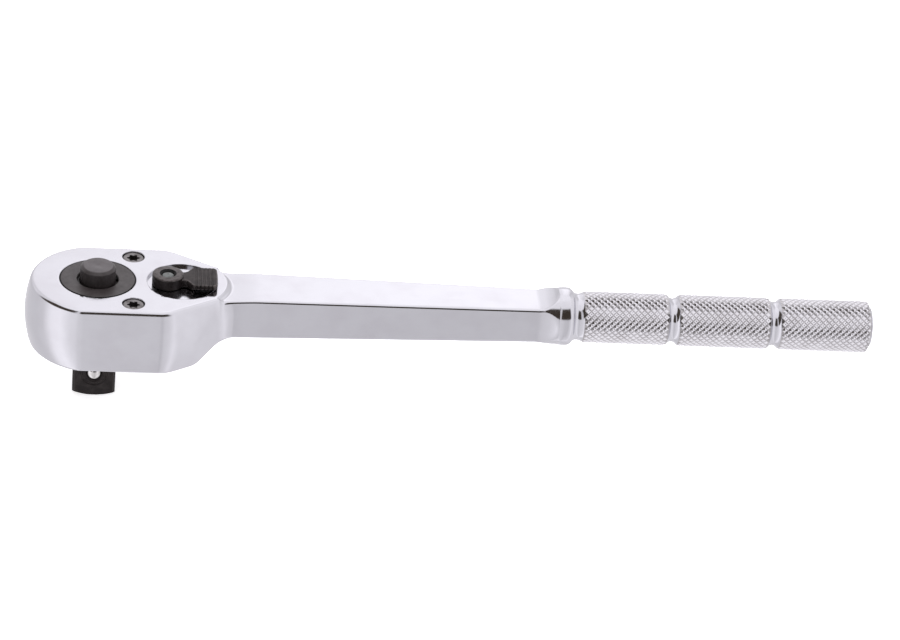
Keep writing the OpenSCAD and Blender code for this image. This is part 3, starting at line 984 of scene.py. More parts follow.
    def underside(self, x: float) -> float:
        """Height of the underside: flat, a convex start, a slope and a hollow into the shank.

        Args:
            x: the place along the handle.

        Returns:
            The height.
        """
        slope = math.radians(self.blend_slope)
        outer, inner = self.blend_r
        floor = AXIS_Z - self.shank_low
        hollow_x = self.blend_x - inner * math.sin(slope)
        hollow_z = floor - inner * (1 - math.cos(slope))
        slope_z = outer * (1 - math.cos(slope))
        slope_x = hollow_x - (hollow_z - slope_z) / math.tan(slope)
        start_x = slope_x - outer * math.sin(slope)
        if x <= start_x:
            return 0.0
        if x <= slope_x:
            return outer - math.sqrt(outer ** 2 - (x - start_x) ** 2)
        if x <= hollow_x:
            return slope_z + (x - slope_x) * math.tan(slope)
        if x <= self.blend_x:
            return floor - inner + math.sqrt(inner ** 2 - (self.blend_x - x) ** 2)
        return floor + self.shank_fall * (x - self.blend_x)

    def wall(self, at: Station, z: float) -> Triple:
        """A point of the crowned wall.

        Args:
            at: the station it belongs to.
            z: its height.

        Returns:
            The point, in millimetres.
        """
        low, top = self.underside(at.x), self.level(at.x, at.x)
        middle, half = (low + top) / 2, (top - low) / 2
        bulge = self.crown + (self.shank_crown - self.crown) * ease(*self.crown_fade, at.x)
        return at.moved(bulge * (1 - ((z - middle) / half) ** 2), z)

    def rounding(self, at: Station, inset: float, face: float, end: float) -> list[Triple]:
        """The rounding between a face and the wall, without its last point.

        Args:
            at: the station it belongs to.
            inset: how far in from the wall it starts.
            face: the height of the face.
            end: the height where it meets the wall.

        Returns:
            Its points from the face to the wall, in millimetres.
        """
        foot = self.wall(at, end)
        reach = (foot[0] - at.x) * at.out_x + (foot[1] - at.y) * at.out_y
        points = []
        for step in range(self.round_steps):
            share = step / self.round_steps
            tail = share ** 2
            points.append(at.moved((1 - share) ** 2 * -inset + tail * reach, face + (end - face) * tail))
        return points

    def across(self, at: Station) -> list[Triple]:
        """The part of a line that crosses the top, bowed where it nears the head's rounded end.

        Args:
            at: the station it belongs to.

        Returns:
            Its points from the rounding to the middle, in millimetres.
        """
        edge_x = at.x - at.out_x * self.top_round
        edge_y = max(0.0, at.y - at.out_y * self.top_round)
        bow = self.bow * ease(*self.bow_in, at.x) * (1 - ease(*self.bow_out, at.x))
        near = math.sqrt(max(0.0, self.end_r ** 2 - edge_y ** 2))
        points = []
        for step in range(1, self.top_steps + 1):
            y = edge_y * (1 - step / self.top_steps)
            far = math.sqrt(max(0.0, self.end_r ** 2 - y ** 2))
            share = (far - near) / max(0.01, self.end_r - near)
            x = edge_x + bow * share
            points.append((x, y, self.level(at.x, x)))
        return points

    def rib(self, at: Station) -> list[Triple]:
        """One line of the skin, from the middle of the underside round the wall to the middle of the top.

        Args:
            at: the station it starts from.

        Returns:
            Its points, in millimetres.
        """
        low, top = self.underside(at.x), self.level(at.x, at.x)
        low_r, top_r = self.low_round, self.top_round
        edge_x, edge_y = at.x - at.out_x * low_r, at.y - at.out_y * low_r
        points = []
        for step in range(self.low_steps):
            points.append((edge_x, edge_y * step / self.low_steps, self.underside(edge_x)))
        points += self.rounding(at, low_r, low, low + low_r)
        for step in range(self.wall_steps + 1):
            z = low + low_r + (top - top_r - low - low_r) * step / self.wall_steps
            points.append(self.wall(at, z))
        points += reversed(self.rounding(at, top_r, top, top - top_r))
        points += self.across(at)
        return [self.flared(point) for point in points]

    def flared(self, point: Triple) -> Triple:
        """Lets a point of the shank rise to the collar's rim in a hollow curve.

        Args:
            point: a point of the plain shank.

        Returns:
            The same point outside the flare, or its place in the flare.
        """
        x, y, z = point
        start, end = self.flare
        if x <= start:
            return point
        run = min(x, end) - start
        round_r = ((end - start) ** 2 + self.flare_rise ** 2) / (2 * self.flare_rise)
        share = (round_r - math.sqrt(round_r ** 2 - run ** 2)) / self.flare_rise
        up = z - AXIS_Z
        wide, high = PlanOutline().shank_half(x), self.shank_top(x) - AXIS_Z
        y *= 1 + share * (self.flare_r / wide - 1)
        up *= 1 + share * (self.flare_r / high - 1)
        reach = math.hypot(y, up)
        if reach > self.flare_r:
            y *= self.flare_r / reach
            up *= self.flare_r / reach
        return (x, y, AXIS_Z + up)

    def skin(self) -> Piece:
        """Wraps a grid round the outline, mirrors it and closes its end.

        Returns:
            The forged bar as a closed solid, without its holes.
        """
        ribs = [self.rib(at) for at in PlanOutline().stations()]
        columns, rows = len(ribs) - 1, len(ribs[0]) - 1
        piece = Bench.start("forged_handle", bpy.ops.mesh.primitive_grid_add, x_subdivisions=columns,
                            y_subdivisions=rows, size=1)
        for vertex in piece.data.vertices:
            column = round((vertex.co.x + 0.5) * columns)
            row = round((vertex.co.y + 0.5) * rows)
            vertex.co = metres(ribs[column][row])
        mirror = piece.modifiers.new("mirror", "MIRROR")
        mirror.use_axis = (False, True, False)
        mirror.merge_threshold = TINY
        bpy.ops.object.modifier_apply(modifier=mirror.name)
        Bench.open(piece)
        bpy.ops.mesh.remove_doubles(threshold=TINY)
        bpy.ops.mesh.select_all(action="DESELECT")
        bpy.ops.mesh.select_non_manifold()
        bpy.ops.mesh.edge_face_add()
        Bench.close()
        Bench.heal(piece)
        return piece

    def collar(self) -> list[Pair]:
        """The collar's part of the turned profile, crowned and sunk in the flare's rim.

        Returns:
            Its points, from the axis to the first groove.
        """
        near, far = self.collar_x
        inset, seam, steps = 0.4, 0.05, 16
        profile = [(0.0, near), (self.flare_r - inset, near)]
        for step in range(steps + 1):
            share = step / steps
            drop = self.collar_edge * abs(2 * share - 1) ** self.collar_bend
            low_end = self.rim_drop / self.collar_edge if share < 0.5 else 1.0
            profile.append((self.collar_r - drop * low_end, near + seam + (far - near - seam) * share))
        return profile

    def groove(self, first: float, start: float, end: float, least: float) -> list[Pair]:
        """One groove's part of the turned profile.

        Args:
            first: the radius where it starts.
            start: its first place along the handle.
            end: its last place.
            least: its least radius.

        Returns:
            Its points, from one edge to the other.
        """
        steps = 12
        profile = []
        for step in range(steps + 1):
            share = step / steps
            high = first + (self.grip_edge_r - first) * share
            radius = high - (high - least) * math.sin(math.pi * share) ** self.groove_bend
            profile.append((radius, start + (end - start) * share))
        return profile

    def turned_end(self) -> Piece:
        """Turns the collar, the grooves and the core of the grip.

        Returns:
            The turned solid.
        """
        lathe = Lathe(centre=(0, 0, AXIS_Z), axis=(1, 0, 0), side=(0, 0, 1), steps=96)
        profile = self.collar()
        for place, (start, end, least) in enumerate(self.grooves):
            if place == 0:
                profile += self.groove(self.collar_r - self.collar_edge, start, end, least)[1:]
            else:
                profile += [(self.core_r, start - 1), (self.core_r, start)]
                profile += self.groove(self.grip_edge_r, start, end, least)
            profile += [(self.core_r, end + 0.05), (self.core_r, end + 1)]
        cap_r, cap_round = self.cap
        profile.append((self.core_r, self.grip_end - self.cap_x[0]))
        profile.append((cap_r, self.grip_end - self.cap_x[1]))
        profile += quarter((cap_r - cap_round, self.grip_end - cap_round), cap_round, 0, 80, 4)
        profile.append((0.0, self.grip_end))
        return lathe.turn("turned_end", profile)

    def cavities(self) -> list[Piece]:
        """The tools that cut the holes, pockets and recesses of the head.

        Returns:
            The tools in order.
        """
        top, below = HEAD_TOP, self.recess - 1
        head_r, hole_r = self.screw_bore_r
        pocket_x, pocket_r = self.thumb_pocket
        pawl_posts = [(LEVER_X, 0, self.pawl_r)]
        for x, y in self.wings:
            pawl_posts += [(x, y, self.wing_r), (x, -y, self.wing_r)]
        pocket, spindle = Lathe(centre=(LEVER_X + pocket_x, 0, 0)), Lathe(centre=(LEVER_X, 0, 0), steps=64)
        tools = [
            UPRIGHT.plug("journal_bore", self.journal_bore_r, self.ceiling - 1, top, 0.28),
            UPRIGHT.rod("gear_cavity", self.gear_bore_r, below, self.ceiling),
            Bench.wrapped("cover_recess", CoverPlate().posts(self.cover_gap), -1, self.recess),
            Bench.wrapped("pawl_pocket", pawl_posts, below, self.ceiling - 0.02),
            pocket.plug("lever_pocket", pocket_r, top - 1, top, 0.3),
            spindle.plug("spindle_bore", self.spindle_bore_r, self.ceiling - 1, top - 1, 0.15),
        ]
        for side in (-1, 1):
            lathe = Lathe(centre=(SCREW_AT[0], side * SCREW_AT[1], 0), steps=64)
            tools.append(lathe.plug("screw_counterbore", head_r, SCREW_SEAT, top, 0.22))
            tools.append(lathe.rod("screw_hole", hole_r, -1, SCREW_SEAT + 1))
        return tools

    def build(self) -> None:
        """Makes the forging and fits it."""
        piece = self.skin()
        Bench.work(piece, self.turned_end(), Cut.ADD)
        for tool in self.cavities():
            Bench.work(piece, tool)
        Bench.heal(piece)
        Bench.shade(piece)
        dress(piece, CHROME)
        fit(piece, Body.HANDLE, Slot.CHROME, "head_and_handle")


@dataclass
class KnurledGrip:
    """Three diamond-knurled sleeves on the core of the grip.

    Attributes:
        sections: the first and last place of each sleeve along the handle.
        apex_r: radius of the points before they are blunted.
        valley_r: radius at the bottom of the valleys.
        around: how many half diamonds go round.
        pitch: length of half a diamond along the grip.
        blunt: how much is taken off each point.
        round_from: where the rounding of the grip's end begins.
    """

    sections: tuple[Pair, ...] = ((144.8, 170.3), (173.6, 201.1), (204.4, 232.2))
    apex_r: float = 7.86
    valley_r: float = 7.4
    around: int = 50
    pitch: float = 0.95
    blunt: float = 0.22
    round_from: float = 230.7

    def sleeve(self, name: str, start: float, end: float) -> Piece:
        """Makes one sleeve.

        Args:
            name: the sleeve's name.
            start: its first place along the handle.
            end: its last place.

        Returns:
            A closed sleeve with the diamonds on it.
        """
        length = end - start
        rings = round(length / self.pitch)
        centre = metres(((start + end) / 2, 0, AXIS_Z))
        piece = Bench.start(name, bpy.ops.mesh.primitive_cylinder_add, vertices=self.around,
                            radius=self.apex_r * MM, depth=length * MM, location=centre,
                            rotation=(0, math.pi / 2, 0))
        mesh = piece.data
        Bench.open(piece, "DESELECT")
        bpy.ops.mesh.select_mode(type="EDGE")
        Bench.close()
        for edge in mesh.edges:
            one, two = (mesh.vertices[index].co for index in edge.vertices)
            edge.select = abs(one.x - two.x) > length * MM / 2
        bpy.ops.object.mode_set(mode="EDIT")
        bpy.ops.mesh.subdivide(number_cuts=rings - 1)
        bpy.ops.mesh.select_mode(type="VERT")
        bpy.ops.mesh.select_all(action="DESELECT")
        Bench.close()
        crests = 0
        for vertex in mesh.vertices:
            ring = round((vertex.co.x / MM - start) / length * rings)
            angle = math.atan2(vertex.co.z - AXIS_Z * MM, vertex.co.y)
            post = round(angle / math.tau * self.around)
            vertex.select = ring in (0, rings) or (ring + post) % 2 == 1
            crests += not vertex.select
        bpy.ops.object.mode_set(mode="EDIT")
        shrink = self.valley_r / self.apex_r
        bpy.ops.transform.resize(value=(1, shrink, shrink), center_override=centre)
        bpy.ops.mesh.select_all(action="SELECT")
        bpy.ops.mesh.quads_convert_to_tris(quad_method="SHORTEST_DIAGONAL", ngon_method="BEAUTY")
        bpy.ops.mesh.select_all(action="DESELECT")
        Bench.close()
        limit = (self.valley_r + self.apex_r) / 2
        for vertex in mesh.vertices:
            reach = math.hypot(vertex.co.y, vertex.co.z - AXIS_Z * MM)
            vertex.select = reach > limit * MM
        bpy.ops.object.mode_set(mode="EDIT")
        bpy.ops.mesh.bevel(offset=self.blunt * MM, affect="VERTICES", segments=1)
        bpy.ops.mesh.select_all(action="SELECT")
        bpy.ops.mesh.normals_make_consistent(inside=False)
        Bench.close()
        if end > self.round_from:
            self.round_end(piece, end)
        LOG.info("%s has %d diamonds", name, crests)
        return piece

    def round_end(self, piece: Piece, end: float) -> None:
        """Draws the last rings in along a quarter circle.

        Args:
            piece: the sleeve.
            end: its last place along the handle.
        """
        radius = end - self.round_from
        for vertex in piece.data.vertices:
            past = min(radius, vertex.co.x / MM - self.round_from)
            if past <= 0:
                continue
            drop = radius - math.sqrt(radius ** 2 - past ** 2)
            reach = math.hypot(vertex.co.y, vertex.co.z - AXIS_Z * MM)
            if reach < TINY:
                continue
            share = 1 - drop * MM / reach
            vertex.co.y *= share
            vertex.co.z = AXIS_Z * MM + (vertex.co.z - AXIS_Z * MM) * share

    def build(self) -> None:
        """Makes the three sleeves and fits them."""
        for place, (start, end) in zip(("front", "middle", "back"), self.sections):
            piece = self.sleeve(f"grip_knurl_{place}", start, end)
            dress(piece, KNURLED_CHROME)
            fit(piece, Body.HANDLE, Slot.CHROME, "head_and_handle")


@dataclass
class CoverPlate:
    """The plate that closes the head from below.

    Attributes:
        main_r: radius about the drive axis.
        lug_r: radius round a screw.
        pivot_r: radius round the lever's axis.
        thick: thickness of the plate.
        journal_r: radius of the hole for the drive.
        thread_r: radius of a screw's thread.
        foot: radius and depth left under the spindle's foot.
    """

    main_r: float = 15.7
    lug_r: float = 3.1
    pivot_r: float = 6.8
    thick: float = 3.15
    journal_r: float = 9.26
    thread_r: float = 2.0
    foot: Pair = (2.06, 1.2)

    def posts(self, extra: float = 0.0) -> list[Triple]:
        """The posts that its outline is wrapped round.

        Args:
            extra: the clearance that they are grown by.

        Returns:
            x, y and radius of each post.
        """
        x, y = SCREW_AT
        lug = self.lug_r + extra
        return [(0, 0, self.main_r + extra), (x, y, lug), (x, -y, lug), (LEVER_X, 0, self.pivot_r + extra)]

    def build(self) -> None:
        """Makes the plate and fits it."""
        piece = Bench.wrapped("cover_plate_turned", self.posts(), 0, self.thick)
        Bench.soften(piece, 0.35, 3)
        deep = -self.thick - 0.85
        down = Lathe(axis=(0, 0, -1), steps=96)
        Bench.work(piece, down.plug("journal_hole", self.journal_r, deep, 0, 0.3))
        for side in (-1, 1):
            hole = Lathe(centre=(SCREW_AT[0], side * SCREW_AT[1], 0), axis=(0, 0, -1), steps=48)
            Bench.work(piece, hole.plug("thread_hole", self.thread_r, deep, 0, 0.25))
        foot = Lathe(centre=(LEVER_X, 0, 0), steps=48)
        Bench.work(piece, foot.plug("foot_hole", *self.foot, self.thick, 0.1))
        Bench.heal(piece)
        Bench.shade(piece)
        dress(piece, CHROME, CHROME)
        fit(piece, Body.HANDLE, Slot.CHROME, "cover_plate")


@dataclass
class CoverScrews:
    """Two pan-head screws with six-lobe sockets, sunk in the top of the head.

    Attributes:
        head_r: radius of the head.
        shank_r: radius of the shank.
        foot: bottom of the shank, and its chamfer.
        top_z: height of the head's top.
        pan: rounding of the head.
        dish: depth of the dish round the socket.
        deep: depth of the socket.
        lobe_r: radius over the socket's lobes.
    """

    head_r: float = 3.2
    shank_r: float = 1.98
    foot: Pair = (0.3, 0.3)
    top_z: float = 20.55
    pan: float = 0.55
    dish: float = 0.12
    deep: float = 1.55
    lobe_r: float = 1.95

    def socket(self, x: float, y: float) -> Piece:
        """The six-lobe tool that sinks the socket.

        Args:
            x: the screw's place along the handle.
            y: its place across.

        Returns:
            The tool.
        """
        outline = []
        count, lobes = 72, 6
        for step in range(count):
            angle = math.tau * step / count
            reach = self.lobe_r * (0.85 + 0.15 * math.cos(lobes * angle))
            outline.append((x + reach * math.cos(angle), y + reach * math.sin(angle)))
        return Bench.prism("six_lobe", outline, self.top_z - self.deep, self.top_z + 1)

    def profile(self) -> list[Pair]:
        """The profile of a screw, without its socket.

        Returns:
            Pairs of radius and height, from the foot to the head.
        """
        low, chamfer = self.foot
        pan, dish_z = self.pan, self.top_z - self.dish
        points = [(0, low), (self.shank_r - chamfer, low), (self.shank_r, low + chamfer)]
        points += [(self.shank_r, SCREW_SEAT), (self.head_r, SCREW_SEAT)]
        points += quarter((self.head_r - pan, self.top_z - pan), pan, 0, 78, 5)
        return points + [(self.lobe_r + 0.32, self.top_z), (self.lobe_r + 0.1, dish_z), (0, dish_z)]

    def build(self) -> None:
        """Makes both screws and fits them."""
        for name, side in (("front", -1), ("back", 1)):
            x, y = SCREW_AT[0], side * SCREW_AT[1]
            lathe = Lathe(centre=(x, y, 0), steps=64)
            piece = lathe.turn(f"cover_screw_{name}_six_lobe", self.profile())
            Bench.work(piece, self.socket(x, y))
            dress(piece, SCREW_STEEL, BLACK_STEEL)
            # The faces deep in the six-lobe socket take the black finish: painted shade in the recess.
            for face in piece.data.polygons:
                deep = face.center.z < (self.top_z - 0.25) * MM
                face.material_index = 1 if deep else 0
            Bench.heal(piece)
            Bench.shade(piece)
            fit(piece, Body.HANDLE, Slot.BLACK_STEEL, f"cover_screw_{name}")


# ---------------------------------------------------------------- the drive


@dataclass
class Drive:
    """Journals, toothed ring and square in one blackened piece.

    Attributes:
        upper_r: radius of the upper journal, the disc, whose face is flush with the head.
        lower_r: radius of the lower journal.
        rim: chamfers round the disc's face and under the lower journal.
        seal: bottom, top and radius of the seal's groove.
        root_r: radius at the tooth roots.
        tip_r: radius at the tooth tips.
        gear_z: heights of the toothed ring.
        teeth: number of teeth.
        land: half the flat at a tooth's tip and root.
        square_w: width across the flats.
        square_l: length of the square.
        corner_r: radius of its turned corners.
        chamfer: chamfer of those corners at its end.
        bore_end: how deep the bore goes.
        plunger_bore: radius and top of the plunger's bore.
        spring_bore: radius and top of the spring's bore.
        flange_bore_r: radius of the bore that the button's flange moves in.
        ring: bottom, top and radius of the retaining ring's groove.
        ball_z: height of the ball's centre.
        ball_hole: radius of the ball's hole, of its lip and of its mouth.
        stake: radius and thickness of the ring that the staking tool left.
    """

    upper_r: float = 11.2
    lower_r: float = 9.2
    rim: Pair = (0.34, 0.3)
    seal: Triple = (17.25, 18.95, 9.82)
    root_r: float = 12.6
    tip_r: float = 13.4
    gear_z: Pair = (4.1, 15.9)
    teeth: int = 60
    land: float = 0.12
    square_w: float = 12.7
    square_l: float = 15.5
    corner_r: float = 8.5
    chamfer: float = 0.9
    bore_end: float = -14.0
    plunger_bore: Pair = (2.61, 8.75)
    spring_bore: Pair = (4.45, 14.25)
    flange_bore_r: float = 6.08
    ring: Triple = (19.28, 20.12, 6.58)
    ball_z: float = BALL_Z
    ball_hole: Triple = (2.43, 2.26, 2.85)
    stake: Pair = (3.7, 0.34)

    def journals(self) -> Piece:
        """Turns both journals, with the seal's groove in the upper one.

        Returns:
            The turned solid.
        """
        rim, low_rim = self.rim
        low, high = self.gear_z
        seal_z, seal_top, seal_r = self.seal
        profile = [
            (0, 0), (self.lower_r - low_rim, 0), (self.lower_r, low_rim), (self.lower_r, low + 1),
            (self.upper_r, high - 1), (self.upper_r, seal_z), (seal_r, seal_z), (seal_r, seal_top),
            (self.upper_r, seal_top), (self.upper_r, HEAD_TOP - rim), (self.upper_r - rim, HEAD_TOP),
            (0, HEAD_TOP),
        ]
        return Lathe(steps=120).turn("drive_gear_and_square", profile)

    def toothed_ring(self) -> Piece:
        """The ring of ratchet teeth, with a gap on +X.

        Returns:
            The ring as a closed solid.
        """
        pitch = math.tau / self.teeth
        root, tip = self.land / self.root_r, self.land / self.tip_r
        outline = []
        for tooth in range(self.teeth):
            base = tooth * pitch
            for turn, radius in (
                (root, self.root_r), (pitch / 2 - tip, self.tip_r), (pitch / 2 + tip, self.tip_r),
                (pitch - root, self.root_r),
            ):
                outline.append((radius * math.cos(base + turn), radius * math.sin(base + turn)))
        return Bench.prism("toothed_ring", outline, *self.gear_z)

    def square(self) -> Piece:
        """The square with turned corners, a turned end and softened edges.

        Returns:
            The square, which reaches 1 mm into the journal.
        """
        size = self.square_w * MM
        low, high = -self.square_l, 1.0
        piece = Bench.start("square", bpy.ops.mesh.primitive_cube_add, size=1,
                            location=metres((0, 0, (low + high) / 2)),
                            scale=(size, size, (high - low) * MM))
        end_r = self.corner_r - 2 * self.chamfer
        profile = [(0, low), (end_r - 0.3, low), (end_r, low + 0.1), (self.corner_r, low + self.chamfer),
                   (self.corner_r, high + 1), (0, high + 1)]
        Bench.work(piece, Lathe(steps=128).turn("turned_corners", profile), Cut.COMMON)
        dress(piece, BLACK_STEEL, WEAR_AND_HIGHLIGHT_BLACK)
        # the softened edges take the lighter black: wear and painted highlight
        Bench.soften(piece, 0.18, 2, 20.0)
        return piece

    def bores(self) -> Piece:
        """The stepped bore for button, ring, spring and plunger, as one turned tool.

        Returns:
            The tool.
        """
        edge = 0.2
        plunger_r, plunger_top = self.plunger_bore
        spring_r, spring_top = self.spring_bore
        ring_z, ring_top, ring_r = self.ring
        wide, above = self.flange_bore_r, HEAD_TOP + 1
        profile = [
            (0, self.bore_end), (plunger_r, self.bore_end), (plunger_r, plunger_top),
            (spring_r, plunger_top), (spring_r, spring_top), (wide, spring_top),
            (wide, ring_z), (ring_r, ring_z), (ring_r, ring_top), (wide, ring_top),
            (wide, HEAD_TOP - edge), (wide + edge, HEAD_TOP), (wide + edge, above), (0, above),
        ]
        return UPRIGHT.turn("stepped_bore", profile)

    def ball_seat(self) -> list[Piece]:
        """The ball's hole with its staked lip, and the ring that the staking tool left.

        Returns:
            Both tools.
        """
        face = self.square_w / 2
        hole_r, lip_r, mouth_r = self.ball_hole
        stake_r, stake_w = self.stake
        lathe = Lathe(centre=(0, 0, self.ball_z), axis=(0, -1, 0), side=(1, 0, 0), steps=48)
        profile = [(0, 0), (hole_r, 0), (hole_r, face - 0.62), (lip_r, face - 0.5),
                   (lip_r + 0.04, face - 0.4), (mouth_r, face), (mouth_r, face + 1), (0, face + 1)]
        ring = Bench.start("stake_ring", bpy.ops.mesh.primitive_torus_add, major_segments=48,
                           minor_segments=12, major_radius=stake_r * MM, minor_radius=stake_w * MM,
                           location=metres((0, -face - 0.1, self.ball_z)), rotation=(math.pi / 2, 0, 0))
        return [lathe.turn("ball_hole", profile), ring]

    def build(self) -> None:
        """Makes the drive and fits it."""
        plain, wear_and_highlight, gap, square = range(4)
        piece = self.journals()
        dress(piece, BLACK_STEEL, WEAR_AND_HIGHLIGHT_BLACK, GAP_SHADE_BLACK)
        # Slanted faces: the upper ones, round the disc's rim at the head's bore, take near-black painted
        # shade; the lower ones take the lighter black of wear and painted highlight.
        for face in piece.data.polygons:
            slanted = 0.3 < abs(face.normal.z) < 0.9
            upper = face.center.z > HEAD_TOP / 2 * MM
            face.material_index = (gap if upper else wear_and_highlight) if slanted else plain
        Bench.work(piece, self.toothed_ring(), Cut.ADD)
        Bench.work(piece, self.square(), Cut.ADD)
        Bench.work(piece, self.bores())
        for tool in self.ball_seat():
            Bench.work(piece, tool)
        piece.data.materials.append(LEVER_BLACK.make())
        for face in piece.data.polygons:
            if face.material_index == plain and face.center.z < -TINY:
                face.material_index = square
        Bench.heal(piece)
        Bench.shade(piece)
        fit(piece, Body.DRIVE, Slot.BLACK_STEEL, "drive_gear")


@dataclass
class PushButton:
    """The button that lets the ball sink.

    Attributes:
        radius: radius of the button.
        top_z: height of its top.
        chamfer: chamfer round the top.
        soft: rounding at both ends of the chamfer.
        flange: radius, bottom and top of the flange that keeps it in.
        stub: radius and top of the hole for the plunger.
    """

    radius: float = 5.25
    top_z: float = 25.45
    chamfer: float = 0.8
    soft: float = 0.22
    flange: Triple = (5.95, 18.05, 19.25)
    stub: Pair = (2.1, 23.05)

    def build(self) -> None:
        """Makes the button and fits it."""
        flange_r, low, high = self.flange
        hole_r, hole_z = self.stub
        soft, edge = self.soft, 0.15
        bend = self.top_z - self.chamfer
        rim = self.radius - self.chamfer
        profile = [
            (0, hole_z), (hole_r, hole_z), (hole_r, low), (flange_r - edge, low), (flange_r, low + edge),
            (flange_r, high - edge), (flange_r - edge, high), (self.radius, high),
            (self.radius, bend - soft), (self.radius - 0.06, bend + soft * 0.4),
            (rim + soft, self.top_z - soft * 1.1), (rim - soft * 0.2, self.top_z - soft * 0.25),
            (rim - soft * 1.6, self.top_z),
            (0.9, self.top_z - 0.03), (0.55, self.top_z - 0.1), (0, self.top_z - 0.12),
        ]
        piece = Lathe(steps=112).turn("push_button_chamfered", profile)
        dress(piece, BLACK_STEEL, BUTTON_LIT_TOP)
        # The flat top faces take the lighter finish: a painted highlight.
        for face in piece.data.polygons:
            top = face.normal.z > 0.97 and face.center.z > (self.top_z - 0.3) * MM
            face.material_index = 1 if top else 0
        Bench.shade(piece, 28.0)
        fit(piece, Body.BUTTON, Slot.BLACK_STEEL, "release_button")


@dataclass
class SocketBall:
    """The ball that holds a socket on the square.

    Attributes:
        radius: its radius.
        centre: its centre.
    """

    radius: float = 2.38
    centre: Triple = (0.0, -4.98, BALL_Z)

    def build(self) -> None:
        """Turns the ball and fits it."""
        profile = quarter((0.0, 0.0), self.radius, -90, 90, 24)
        profile[0], profile[-1] = (0.0, -self.radius), (0.0, self.radius)
        piece = Lathe(centre=self.centre, steps=48).turn("socket_ball_polished", profile)
        dress(piece, BALL_STEEL)
        Bench.shade(piece, 60.0)
        fit(piece, Body.BALL, Slot.BARE_STEEL, "socket_ball")


# ---------------------------------------------------------------- the reversing lever


